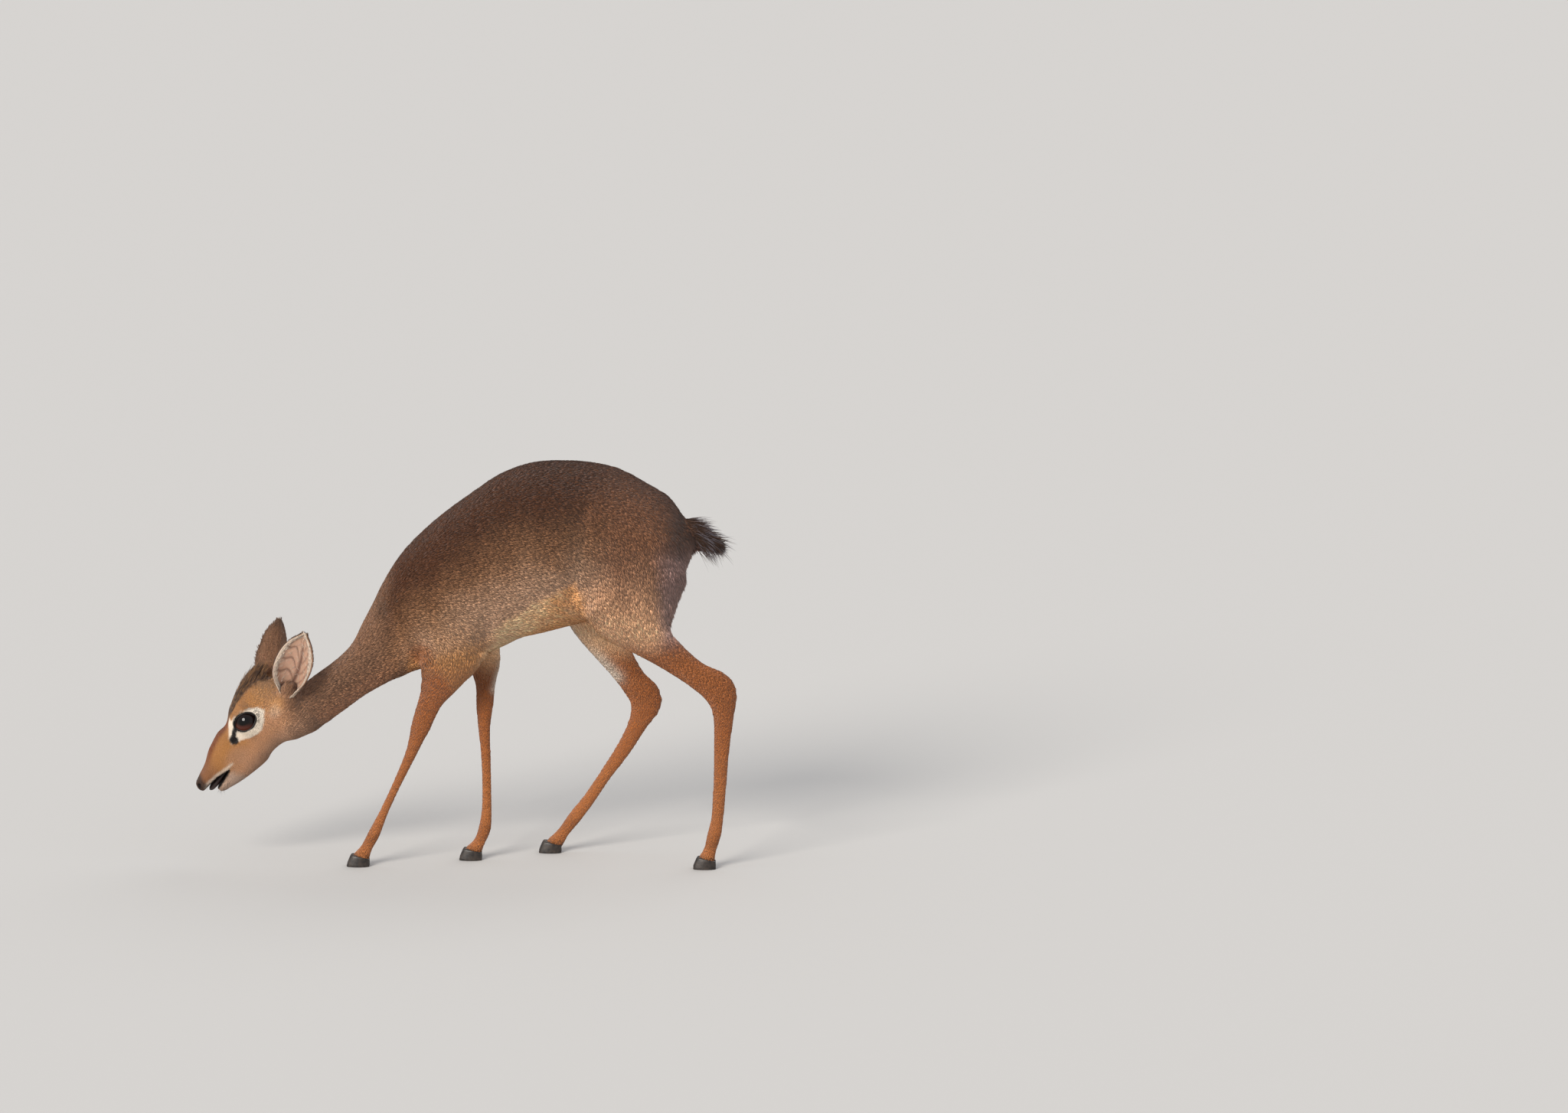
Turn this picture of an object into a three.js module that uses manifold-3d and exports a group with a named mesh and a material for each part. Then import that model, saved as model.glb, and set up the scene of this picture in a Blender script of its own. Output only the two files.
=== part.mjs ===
// A dik dik, a dwarf antelope, life size and still, grazing with its head low in mid step.
// Millimetres. +Z is up, the head points to -X and the animal's right side to +Y.
// The origin lies on the ground under the middle of the animal.

import * as THREE from 'three';
import { mergeVertices } from 'three/addons/utils/BufferGeometryUtils.js';
import Module from 'manifold-3d';

const wasm = await Module();
wasm.setup();

// Sizes of the whole animal
const MIDDLE_X = 3.6;          // middle of the animal, measured from the far fore foot's ground
const MIDDLE_Y = 0;
const JOIN_GAP = 0.3;          // clear width between two parts that touch
const BLEND = 5;               // width over which one form runs into the next
const STEPS = 3;               // short lengths between two stations of a form
const SHORTEST_SIDE = 0.15;    // shortest side of a triangle
const THINNEST = 0.03;         // least height of a triangle
const MOST_TURNS = 200;

// Grain of the faceted surfaces, as cell sizes along X, Y and Z, or across and along a limb
const TORSO_CELL = [15, 14, 15];
const NECK_CELL = [9, 9, 9];
const HEAD_CELL = [5.6, 5.1, 5.6];
const THIGH_CELL = [10, 9, 10];
const SHANK_CELL = [6, 5.4, 11];
const FORE_CANNON_CELL = [3.9, 3.9, 13];
const HIND_CANNON_CELL = [5.2, 4.6, 13];
const FOOT_CELL = [4.6, 4.4, 6];

// Trunk and neck, from rump to throat
// Each station: x, y, z of the centre, reach upwards, reach downwards, half the width
const SPINE = [
  [214, 0, 322, 30, 34, 30],       // root of the tail
  [200, 0, 324, 49, 54, 41],       // point of the rump
  [180, 0, 327, 63, 64, 49],       // croup
  [150, 0, 328, 80, 73, 54],       // top of the haunch
  [120, 0, 325, 89, 77, 57],       // loins
  [90, 0, 319, 94, 79, 58],
  [60, 0, 311, 90, 79, 58],        // belly
  [30, 0, 301, 79, 77, 57],
  [2, 0, 288, 70, 77, 53],         // ribs
  [-24, 0, 272, 61, 72, 48],       // withers
  [-46, 0, 254, 50, 63, 42],       // shoulder
  [-64, 0, 236, 40, 49, 35],       // breast
  [-80, -1, 218, 34, 34, 28],      // root of the neck
  [-97, -2, 203, 27, 27, 24],
  [-116, -4, 189, 24, 24, 22],
  [-138, -6, 173, 24, 24, 22],
  [-160, -8, 157, 24, 23, 22],
  [-176, -9, 148, 22, 21, 21],     // throat
];
const SPINE_CAP = 17;

// Limbs, from the trunk to the top of the hoof
// Each station: x, y, z of the centre, reach forwards, reach backwards, half the width
const NEAR_FORE = [
  [-22, -24, 262, 30, 36, 17],     // shoulder
  [-10, -27, 228, 34, 36, 18],
  [-18, -28, 200, 26, 23, 15],     // elbow
  [-31, -28, 176, 13, 15, 10.5],
  [-38, -28, 158, 11, 12, 9],
  [-42.5, -28, 144, 10.5, 10.5, 9],
  [-46, -27.5, 133, 9, 8, 8.5],    // knee
  [-53, -27, 115, 6.6, 6.3, 6.8],
  [-66, -26.5, 87, 5.2, 5.2, 5.6],
  [-80, -26, 57, 5, 5.2, 5.8],
  [-91, -26, 33, 6.5, 7, 7.5],     // fetlock
  [-99, -26, 18, 6.2, 6.5, 7],
  [-104, -26, 8, 9.5, 9, 9],       // top of the hoof
];
const FAR_FORE = [
  [-20, 22, 258, 30, 36, 17],
  [4, 22, 230, 32, 34, 18],
  [20, 21, 206, 22, 18, 14],
  [22, 19.5, 181, 11.5, 10.5, 10],
  [21, 17, 157, 9.5, 9, 8],
  [20.5, 15.5, 144, 8, 7.5, 8],
  [20.5, 14, 133, 7, 6.5, 7.8],
  [21.5, 12, 113, 6, 5.8, 6.3],
  [22.5, 9.5, 84, 5.4, 5.4, 5.6],
  [22.5, 7, 56, 5.5, 5.8, 5.8],
  [20.5, 5.5, 32, 7, 7, 7.5],
  [14, 5, 17, 6.2, 6.5, 7],
  [8.5, 5, 8, 9.5, 9, 9],
];
const NEAR_HAM = [
  [182, -26, 338, 52, 34, 20],     // hip
  [176, -31, 308, 60, 51, 23],
  [172, -34, 280, 59, 47, 23],
  [168, -36, 258, 45, 43, 20],
  [166, -37, 242, 30, 38, 15],
];
const NEAR_HIND = [
  [142, -36, 274, 20, 24, 18],     // stifle
  [160, -37, 258, 24, 24, 18],
  [185, -39, 240, 22, 20, 15],
  [212, -41, 218, 16, 15.5, 12],
  [236, -42.5, 200, 14, 14, 10],
  [257, -43, 183, 15, 20, 9],      // hock
  [263, -43, 160, 11, 12, 8.5],
  [261.5, -43, 124, 8.8, 8.8, 7],
  [259.5, -42, 85, 7.4, 7.6, 6.5],
  [257, -41, 52, 6.8, 7, 7],
  [253.5, -40.5, 34, 7.5, 8, 8],   // fetlock
  [249, -40, 18, 6.5, 7, 7.3],
  [246, -40, 8, 9.5, 9, 9.3],
];
const FAR_HAM = [
  [180, 27, 336, 52, 34, 20],
  [168, 31, 305, 58, 54, 22],
  [158, 34, 278, 56, 54, 22],
  [150, 36, 256, 44, 48, 19],
  [143, 37, 240, 28, 38, 15],
];
const FAR_HIND = [
  [116, 35, 274, 18, 24, 18],
  [125, 36, 252, 24, 26, 18],
  [140, 38, 226, 22, 23, 15],
  [158, 39, 198, 17, 16.5, 12],
  [171, 40, 178, 15, 15, 10],
  [183, 40.5, 158, 16, 19, 9.5],
  [176, 40.5, 134, 11, 11, 8.5],
  [161, 40.5, 107, 9, 9, 7],
  [141, 41, 78, 7.4, 7.4, 6.5],
  [125, 41, 54, 7.5, 7.5, 7],
  [111, 41, 36, 8, 8, 8],
  [99, 41, 20, 7, 7, 7.3],
  [90, 41, 8, 9.5, 9, 9.3],
];

// Head, in its own frame: along the face, up from its middle line, and sideways
const HEAD_ORIGIN = [-181, -5, 150];
const HEAD_PITCH = 50;         // degrees that the nose points below level
const HEAD_YAW = 5;            // degrees that the nose turns to the left side
const HEAD_ROLL = 1;           // degrees that the crown leans to the left side
// Each station: place along the face, height, reach up, reach down, half the width
const SKULL = [
  [-16, 16, 25, 29, 23],
  [-2, 16, 31, 31, 27.5],
  [12, 16, 29.5, 31, 29],
  [27, 16, 25, 30, 27],
  [42, 15, 24.5, 27, 22.5],
  [56, 15, 25, 24, 18],
  [70, 15, 22, 19, 15],
];
const SNOUT = [
  [58, 19, 20, 13, 15],
  [72, 19.5, 16.5, 12, 14.3],
  [86, 20.5, 12.5, 10, 13.8],
  [97, 22, 8.6, 9, 13],
  [105, 20.5, 8, 6.5, 11],
];
const SNOUT_CAP = 8;
const JAW = [
  [48, 3, 9, 15, 15],
  [66, 2, 8, 11.5, 12.5],
  [82, 2, 6, 8, 10.5],
  [94, 3.5, 4.5, 6, 8.5],
];
const JAW_CAP = 6;
// The lids and brow round an eye, in the same layout, with the eye's place to the side
const LIDS = [
  [20.5, 29.6, 14, 14.2, 14.4],
  [31, 29.6, 14, 14.2, 14.4],
];
const LIDS_CAP = 8;
const EYE_SIDE = 16.5;
// The dense core of the crest, half as high as its hair
const CREST = [
  [26, 38, 4, 10, 8],
  [15, 40, 8.5, 10, 11],
  [3, 41, 9.5, 10, 12],
  [-8, 41, 6, 10, 11],
];
const CREST_CAP = 6;

// Tail, from the rump backwards, same station layout as the limbs
const TAIL = [
  [210, 0, 342, 13, 12, 11],
  [226, 0, 339, 12, 11, 9.5],
  [238, 0, 334, 9.5, 9, 7.5],
  [250, 0, 328, 6, 6, 5],
];
const TAIL_CAP = 7;

// Frames and forms

const unit = (v) => v.clone().normalize();

function headFrame() {
  const degrees = THREE.MathUtils.degToRad;
  const turn = new THREE.Matrix4().makeRotationZ(degrees(HEAD_YAW));
  const along = new THREE.Vector3(-Math.cos(degrees(HEAD_PITCH)), 0, -Math.sin(degrees(HEAD_PITCH)));
  const side = new THREE.Vector3(0, 1, 0).applyAxisAngle(along, -degrees(HEAD_ROLL));
  along.applyMatrix4(turn);
  side.applyMatrix4(turn);
  const up = new THREE.Vector3().crossVectors(side, along);
  return { origin: new THREE.Vector3(...HEAD_ORIGIN), along, side, up };
}

const HEAD = headFrame();

// A point of the head, from its place along the face, its height and its place to the right
function inHead(along, up, side) {
  return HEAD.origin.clone()
    .addScaledVector(HEAD.along, along)
    .addScaledVector(HEAD.up, up)
    .addScaledVector(HEAD.side, side);
}

// A smooth value between stations: the Catmull-Rom curve through the four nearest
function between(a, b, c, d, t) {
  const slopeB = (c - a) / 2;
  const slopeC = (d - b) / 2;
  const t2 = t * t;
  const t3 = t2 * t;
  return (2 * t3 - 3 * t2 + 1) * b + (t3 - 2 * t2 + t) * slopeB
    + (3 * t2 - 2 * t3) * c + (t3 - t2) * slopeC;
}

// A form is a centreline with a section at each station. The section reaches one distance to the
// front, another to the back and a third to both sides, and the ends are rounded by the cap.
function form(rows, side, cap) {
  const fine = [];
  const last = rows.length - 1;
  for (let i = 0; i < last; i += 1) {
    const four = [rows[Math.max(i - 1, 0)], rows[i], rows[i + 1], rows[Math.min(i + 2, last)]];
    for (let k = 0; k < STEPS; k += 1) {
      fine.push(rows[i].map((_, n) => between(...four.map((row) => row[n]), k / STEPS)));
    }
  }
  fine.push(rows[last]);
  const stations = fine.map(([x, y, z, front, back, half]) => (
    { at: new THREE.Vector3(x, y, z), front, back, half }));
  stations.forEach((station, i) => {
    const ahead = stations[Math.min(i + 1, stations.length - 1)].at;
    const behind = stations[Math.max(i - 1, 0)].at;
    const along = new THREE.Vector3().subVectors(ahead, behind);
    station.along = along.addScaledVector(side, -along.dot(side)).normalize();
    station.face = new THREE.Vector3().crossVectors(side, station.along);
  });
  return { stations, side, cap };
}

const ACROSS = new THREE.Vector3(0, 1, 0);
const headForm = (rows, cap, aside = 0) => form(rows.map(([along, up, reachUp, reachDown, half]) => (
  [...inHead(along, up, aside).toArray(), reachUp, reachDown, half])), HEAD.side, cap);

const LIMB_CAP = 9;
const spine = form(SPINE, ACROSS, SPINE_CAP);
const nearFore = form(NEAR_FORE, ACROSS, LIMB_CAP);
const farFore = form(FAR_FORE, ACROSS, LIMB_CAP);
const nearHam = form(NEAR_HAM, ACROSS, LIMB_CAP);
const farHam = form(FAR_HAM, ACROSS, LIMB_CAP);
const nearHind = form(NEAR_HIND, ACROSS, LIMB_CAP);
const farHind = form(FAR_HIND, ACROSS, LIMB_CAP);
const skull = headForm(SKULL, 14);
const snout = headForm(SNOUT, SNOUT_CAP);
const jaw = headForm(JAW, JAW_CAP);
const crest = headForm(CREST, CREST_CAP);
const lids = [-EYE_SIDE, EYE_SIDE].map((aside) => headForm(LIDS, LIDS_CAP, aside));

const gap = new THREE.Vector3();
const step = new THREE.Vector3();

// Distance from a point to one form, below zero inside it: that to the ellipsoid-like section
// at the nearest place of the centreline
function formDistance(point, shape) {
  let least = Infinity;
  const { stations, side, cap } = shape;
  for (let i = 0; i < stations.length - 1; i += 1) {
    const a = stations[i];
    const b = stations[i + 1];
    step.subVectors(b.at, a.at);
    gap.subVectors(point, a.at);
    const t = THREE.MathUtils.clamp(gap.dot(step) / step.lengthSq(), 0, 1);
    gap.addScaledVector(step, -t);
    const u = gap.dot(a.face) * (1 - t) + gap.dot(b.face) * t;
    const v = gap.dot(side);
    const w = gap.dot(a.along) * (1 - t) + gap.dot(b.along) * t;
    const reach = u > 0 ? a.front + (b.front - a.front) * t : a.back + (b.back - a.back) * t;
    const half = a.half + (b.half - a.half) * t;
    const far = Math.hypot(u / reach, v / half, w / cap);
    const steep = Math.hypot(u / reach ** 2, v / half ** 2, w / cap ** 2);
    const distance = far < 1e-6 ? -Math.min(reach, half) : far * (far - 1) / steep;
    least = Math.min(least, distance);
  }
  return least;
}

// Distance to several forms that run into one another: the smooth least of theirs
function blended(forms) {
  return (point) => {
    let sum = 0;
    for (const shape of forms) {
      sum += Math.exp(-formDistance(point, shape) / BLEND);
    }
    return -BLEND * Math.log(sum);
  };
}

// Faceted solids

// The closed surface where a distance is zero, inside a box: one point in each cell that the
// surface crosses, moved onto it, and four points joined across each crossed edge. The box and its
// cells lie along the axes of a frame.
function facet(field, low, high, cell, frame = new THREE.Matrix4()) {
  const place = new THREE.Vector3();
  const distance = (local) => field(place.copy(local).applyMatrix4(frame));
  const count = low.map((value, i) => Math.ceil((high[i] - value) / cell[i]) + 1);
  const [nx, ny, nz] = count;
  const at = (i, j, k) => (k * ny + j) * nx + i;
  const value = new Float64Array(nx * ny * nz).fill(1);
  const point = new THREE.Vector3();
  for (let k = 1; k < nz - 1; k += 1) {
    for (let j = 1; j < ny - 1; j += 1) {
      for (let i = 1; i < nx - 1; i += 1) {
        point.set(low[0] + i * cell[0], low[1] + j * cell[1], low[2] + k * cell[2]);
        value[at(i, j, k)] = distance(point) || 1e-9;
      }
    }
  }
  const strides = [1, nx, nx * ny];
  const points = [];
  const owner = new Map();
  const corners = [0, 1, 2, 3, 4, 5, 6, 7].map((n) => [n & 1, (n >> 1) & 1, n >> 2]);
  for (let k = 0; k < nz - 1; k += 1) {
    for (let j = 0; j < ny - 1; j += 1) {
      for (let i = 0; i < nx - 1; i += 1) {
        const sum = new THREE.Vector3();
        let crossings = 0;
        for (const [a, b, c] of corners) {
          for (let axis = 0; axis < 3; axis += 1) {
            if ([a, b, c][axis]) continue;
            const here = at(i + a, j + b, k + c);
            const f0 = value[here];
            const f1 = value[here + strides[axis]];
            if (f0 > 0 === f1 > 0) continue;
            const crossing = [i + a, j + b, k + c];
            crossing[axis] += f0 / (f0 - f1);
            sum.add(new THREE.Vector3(...crossing));
            crossings += 1;
          }
        }
        if (!crossings) continue;
        sum.divideScalar(crossings);
        owner.set(at(i, j, k), points.length);
        points.push(new THREE.Vector3(...low).add(sum.multiply(new THREE.Vector3(...cell))));
      }
    }
  }
  points.forEach((p) => settle(distance, p, Math.min(...cell) * 0.45).applyMatrix4(frame));
  const triangles = [];
  for (let k = 0; k < nz - 1; k += 1) {
    for (let j = 0; j < ny - 1; j += 1) {
      for (let i = 0; i < nx - 1; i += 1) {
        const here = at(i, j, k);
        for (let axis = 0; axis < 3; axis += 1) {
          const others = [i, j, k].filter((_, n) => n !== axis);
          if (others.includes(0)) continue;
          if (value[here] > 0 === value[here + strides[axis]] > 0) continue;
          const one = strides[(axis + 1) % 3];
          const two = strides[(axis + 2) % 3];
          const ring = [here, here - one, here - one - two, here - two].map((n) => owner.get(n));
          if (value[here] > 0) ring.reverse();
          const [a, b, c, d] = ring;
          const shortAC = points[a].distanceTo(points[c]) < points[b].distanceTo(points[d]);
          if (shortAC) triangles.push(a, b, c, a, c, d);
          else triangles.push(a, b, d, b, c, d);
        }
      }
    }
  }
  return solidFrom(points, triangles);
}

// Moves a point onto the surface along the steepest way, by no more than a limit
function settle(distance, point, limit) {
  const start = point.clone();
  const nudge = 0.2;
  for (let turn = 0; turn < 3; turn += 1) {
    const f = distance(point);
    const slope = new THREE.Vector3();
    for (const axis of ['x', 'y', 'z']) {
      const there = point.clone();
      there[axis] += nudge;
      slope[axis] = (distance(there) - f) / nudge;
    }
    point.addScaledVector(slope, -f / Math.max(slope.lengthSq(), 0.2));
  }
  const moved = point.clone().sub(start);
  return point.copy(start).add(moved.clampLength(0, limit));
}

// A manifold solid from points and triangles, turned so that its faces point out
function solidFrom(points, triangles) {
  const vertProperties = new Float32Array(points.flatMap((p) => p.toArray()));
  const build = (list) => new wasm.Manifold(
    new wasm.Mesh({ numProp: 3, vertProperties, triVerts: new Uint32Array(list) }));
  const solid = build(triangles);
  return solid.volume() > 0 ? solid : build([...triangles].reverse());
}

// A manifold solid from a three.js geometry
function solidOf(geometry, matrix) {
  const bare = geometry.clone();
  if (matrix) bare.applyMatrix4(matrix);
  bare.deleteAttribute('normal');
  bare.deleteAttribute('uv');
  const merged = mergeVertices(bare, 1e-4);
  const mesh = new wasm.Mesh({
    numProp: 3,
    vertProperties: new Float32Array(merged.attributes.position.array),
    triVerts: new Uint32Array(merged.index.array),
  });
  return new wasm.Manifold(mesh);
}

// The sides that a triangle shares with its neighbours, as a map from side to triangle
const sideKey = (a, b) => `${a},${b}`;
function sidesOf(triangles) {
  const sides = new Map();
  triangles.forEach((triangle, n) => {
    triangle.forEach((a, i) => sides.set(sideKey(a, triangle[(i + 1) % 3]), n));
  });
  return sides;
}

// Merges the two ends of the shortest side under a limit, and tells whether it found one
function mergeShort(points, triangles, around) {
  let best = null;
  for (const triangle of triangles) {
    triangle.forEach((a, i) => {
      const b = triangle[(i + 1) % 3];
      if (a > b) return;
      const size = points[a].distanceTo(points[b]);
      const shared = [...around[a]].filter((n) => around[b].has(n));
      if (size < SHORTEST_SIDE && shared.length === 2 && (!best || size < best.size)) best = { a, b, size };
    });
  }
  if (!best) return false;
  const { a, b } = best;
  points[a].lerp(points[b], 0.5);
  const left = triangles.filter((triangle) => !(triangle.includes(a) && triangle.includes(b)));
  triangles.splice(0, triangles.length, ...left);
  triangles.forEach((triangle) => triangle.forEach((n, i) => {
    if (n === b) triangle[i] = a;
  }));
  return true;
}

// Turns the longest side of the flattest sliver so that it joins the two points across it
function turnSliver(points, triangles, around) {
  const sides = sidesOf(triangles);
  const size = (a, b) => points[a].distanceTo(points[b]);
  const area = (a, b, c) => new THREE.Triangle(points[a], points[b], points[c]).getArea();
  for (const [n, triangle] of triangles.entries()) {
    const lengths = triangle.map((a, i) => size(a, triangle[(i + 1) % 3]));
    const longest = Math.max(...lengths);
    if (2 * area(...triangle) / longest > THINNEST) continue;
    const at = lengths.indexOf(longest);
    const [a, b, tip] = [0, 1, 2].map((k) => triangle[(at + k) % 3]);
    const other = sides.get(sideKey(b, a));
    const across = triangles[other].find((k) => k !== a && k !== b);
    if (around[tip].has(across)) continue;
    const before = Math.min(area(a, b, tip), area(b, a, across)) / longest;
    const after = Math.min(area(a, across, tip), area(across, b, tip)) / size(tip, across);
    if (after <= before * 1.5) continue;
    triangles[n] = [a, across, tip];
    triangles[other] = [across, b, tip];
    return true;
  }
  return false;
}

// A solid without the slivers that cuts leave
function tidy(solid) {
  const { vertProperties, triVerts } = solid.getMesh();
  const points = [];
  for (let i = 0; i < vertProperties.length; i += 3) {
    points.push(new THREE.Vector3().fromArray(vertProperties, i));
  }
  const triangles = [];
  for (let i = 0; i < triVerts.length; i += 3) triangles.push([...triVerts.slice(i, i + 3)]);
  const neighbours = () => {
    const around = points.map(() => new Set());
    triangles.forEach(([a, b, c]) => {
      [[a, b], [b, c], [c, a]].forEach(([p, q]) => {
        around[p].add(q);
        around[q].add(p);
      });
    });
    return around;
  };
  while (mergeShort(points, triangles, neighbours()));
  for (let turn = 0; turn < MOST_TURNS && turnSliver(points, triangles, neighbours()); turn += 1);
  return solidFrom(points, triangles.flat());
}

// The largest closed surface of a solid, which drops loose scraps and sealed hollows
function largest(solid) {
  const pieces = solid.decompose();
  pieces.sort((a, b) => b.volume() - a.volume());
  return pieces[0];
}

// A solid cut by planes, each given by a point and the direction of the side that stays
function keep(solid, ...planes) {
  return planes.reduce((rest, [point, normal]) => (
    rest.trimByPlane(normal.toArray(), point.dot(normal) + JOIN_GAP / 2)), solid);
}

// A straight block with an outline in the XZ plane, from one Y to another
function prism(outline, from, to) {
  const shape = new THREE.Shape(outline.map(([x, z]) => new THREE.Vector2(x, z)));
  const block = new THREE.ExtrudeGeometry(shape, { depth: to - from, bevelEnabled: false });
  block.applyMatrix4(new THREE.Matrix4().makeBasis(
    new THREE.Vector3(1, 0, 0), new THREE.Vector3(0, 0, 1), new THREE.Vector3(0, -1, 0)));
  block.translate(0, to, 0);
  return solidOf(block);
}

// A closed surface through rings of points, with a cap on the first ring and a point or a cap
// at the end
function rings(rows, tip) {
  const points = rows.flat();
  const around = rows[0].length;
  const triangles = [];
  for (let r = 0; r < rows.length - 1; r += 1) {
    for (let i = 0; i < around; i += 1) {
      const a = r * around + i;
      const b = r * around + (i + 1) % around;
      triangles.push(a, b, b + around, a, b + around, a + around);
    }
  }
  const centre = (row) => row.reduce((sum, p) => sum.add(p), new THREE.Vector3()).divideScalar(around);
  const first = points.push(centre(rows[0])) - 1;
  const end = points.push(tip ?? centre(rows[rows.length - 1])) - 1;
  const lastRow = (rows.length - 1) * around;
  for (let i = 0; i < around; i += 1) {
    const next = (i + 1) % around;
    triangles.push(first, next, i, end, lastRow + i, lastRow + next);
  }
  return solidFrom(points, triangles);
}

// The place where a straight way from inside a field comes out of it
const REACH = 60;
const HALVINGS = 20;
function skinAt(field, from, direction) {
  const way = unit(direction);
  let inside = 0;
  let outside = REACH;
  for (let n = 0; n < HALVINGS; n += 1) {
    const middle = (inside + outside) / 2;
    if (field(from.clone().addScaledVector(way, middle)) < 0) inside = middle;
    else outside = middle;
  }
  return from.clone().addScaledVector(way, inside);
}

// A round bead along a path, pointed at both ends
function bead(path, radius, sides = 6) {
  const rows = path.slice(1, -1).map((at, n) => {
    const along = unit(path[n + 2].clone().sub(path[n]));
    const one = unit(new THREE.Vector3().crossVectors(along, HEAD.up));
    const two = new THREE.Vector3().crossVectors(along, one);
    return Array.from({ length: sides }, (_, i) => {
      const turn = (i / sides) * Math.PI * 2;
      return at.clone()
        .addScaledVector(one, radius * Math.cos(turn))
        .addScaledVector(two, radius * Math.sin(turn));
    });
  });
  return rings(rows, path[path.length - 1]);
}

// A seeded draw between -1 and 1
const SEED = 20;
let drawn = SEED;
function draw() {
  drawn = (drawn * 16807) % 2147483647;
  return (drawn / 2147483647) * 2 - 1;
}

// A lock of hair: a flat, tapered blade that leaves its sunk root along the skin's outward way,
// bends over and ends in a point along the lie of the coat
const LOCK_SUNK = 4;
const LOCK_ROWS = [0, 0.3, 0.55, 0.8];
const LOCK_WIDTHS = [0.8, 1, 0.85, 0.5];
function lock({ root, out, lie, length: long, width, thick, rise }) {
  const lay = unit(lie.clone().addScaledVector(out, -lie.dot(out)));
  const across = new THREE.Vector3().crossVectors(lay, out);
  const start = root.clone().addScaledVector(out, -LOCK_SUNK);
  const bend = root.clone().addScaledVector(out, rise).addScaledVector(lay, long * 0.35);
  const end = root.clone().addScaledVector(out, rise * 1.05).addScaledVector(lay, long);
  const place = (t) => start.clone().multiplyScalar((1 - t) ** 2)
    .addScaledVector(bend, 2 * t * (1 - t))
    .addScaledVector(end, t * t);
  const rows = LOCK_ROWS.map((t, n) => {
    const way = unit(place(t + 0.05).sub(place(Math.max(t - 0.05, 0))));
    const face = new THREE.Vector3().crossVectors(across, way);
    const half = (width / 2) * LOCK_WIDTHS[n];
    const deep = (thick / 2) * (1 - 0.5 * t);
    return [[half, 0], [0, deep], [-half, 0], [0, -deep]].map(([a, b]) => (
      place(t).addScaledVector(across, a).addScaledVector(face, b)));
  });
  return rings(rows, end);
}

// Trunk, neck and head

const TRUNK_FORMS = [spine, nearFore, farFore, nearHam, farHam, nearHind, farHind];
const HEAD_FORMS = [spine, skull, snout, jaw, crest, ...lids];

// Where the limbs leave the trunk, as outlines seen from the side
const FORE_ROOT = [[-50, 223], [-50, -20], [60, -20], [60, 100], [42, 223]];
const HIND_ROOT = [
  [104, 302], [108, 244], [98, 232], [50, 150], [50, -20], [320, -20], [320, 240], [240, 254],
];

// The same outline, smaller by the gap between two parts
function inset(outline) {
  const middle = (n) => outline.reduce((sum, point) => sum + point[n], 0) / outline.length;
  const [x0, z0] = [middle(0), middle(1)];
  return outline.map(([x, z]) => [x + JOIN_GAP * Math.sign(x0 - x), z + JOIN_GAP * Math.sign(z0 - z)]);
}

const stationPlane = (shape, row) => {
  const { at, along } = shape.stations[row * STEPS];
  return [at, along];
};
const opposite = ([point, normal]) => [point, normal.clone().negate()];

const NECK_ROOT = stationPlane(spine, 12);
const THROAT = [inHead(-23, 0, 0), unit(HEAD.along.clone().addScaledVector(HEAD.up, 0.7))];

function torso() {
  let body = facet(blended(TRUNK_FORMS), [-110, -80, 150], [250, 80, 430], TORSO_CELL);
  body = body.subtract(prism(FORE_ROOT, -90, 90));
  body = body.subtract(prism(HIND_ROOT, -90, 90));
  return largest(keep(body, opposite(NECK_ROOT)));
}

function neck() {
  const body = facet(blended(HEAD_FORMS), [-220, -50, 95], [-50, 50, 275], NECK_CELL);
  return largest(keep(body, NECK_ROOT, opposite(THROAT)));
}

function head() {
  const body = facet(blended(HEAD_FORMS), [-290, -80, 50], [-130, 50, 230], HEAD_CELL);
  return largest(keep(body, THROAT));
}

// Limbs

// The planes of the hoof's top: higher at the toe than at the heel
const HOOF_TOP = 10.5;
const HOOF_TOP_SLOPE = 0.3;
const hoofTop = (foot) => [
  new THREE.Vector3(foot[0], foot[1], HOOF_TOP),
  unit(new THREE.Vector3(HOOF_TOP_SLOPE, 0, 1)),
];

// A frame with its Z along the line between two places of a limb
function limbFrame(from, to) {
  const along = unit(new THREE.Vector3().subVectors(to.at, from.at));
  const front = unit(new THREE.Vector3().crossVectors(ACROSS, along));
  const across = new THREE.Vector3().crossVectors(along, front);
  return new THREE.Matrix4().makeBasis(front, across, along).setPosition(from.at);
}

// The box that holds some stations in a frame, with room on every side
function boxAround(stations, frame, margin) {
  const inverse = frame.clone().invert();
  const box = new THREE.Box3();
  stations.forEach(({ at, front, back, half }) => {
    const reach = Math.max(front, back, half) + margin;
    const centre = at.clone().applyMatrix4(inverse);
    box.expandByPoint(centre.clone().addScalar(reach));
    box.expandByPoint(centre.clone().subScalar(reach));
  });
  return [box.min.toArray(), box.max.toArray()];
}

// One length of a limb, between two of its stations, cut by planes
function length(shape, from, to, cell, planes) {
  const part = shape.stations.slice(from * STEPS, to * STEPS + 1);
  const frame = limbFrame(part[0], part[part.length - 1]);
  const [low, high] = boxAround(part, frame, 2.5 * Math.max(...cell));
  return largest(keep(facet(blended([shape]), low, high, cell, frame), ...planes));
}

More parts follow.
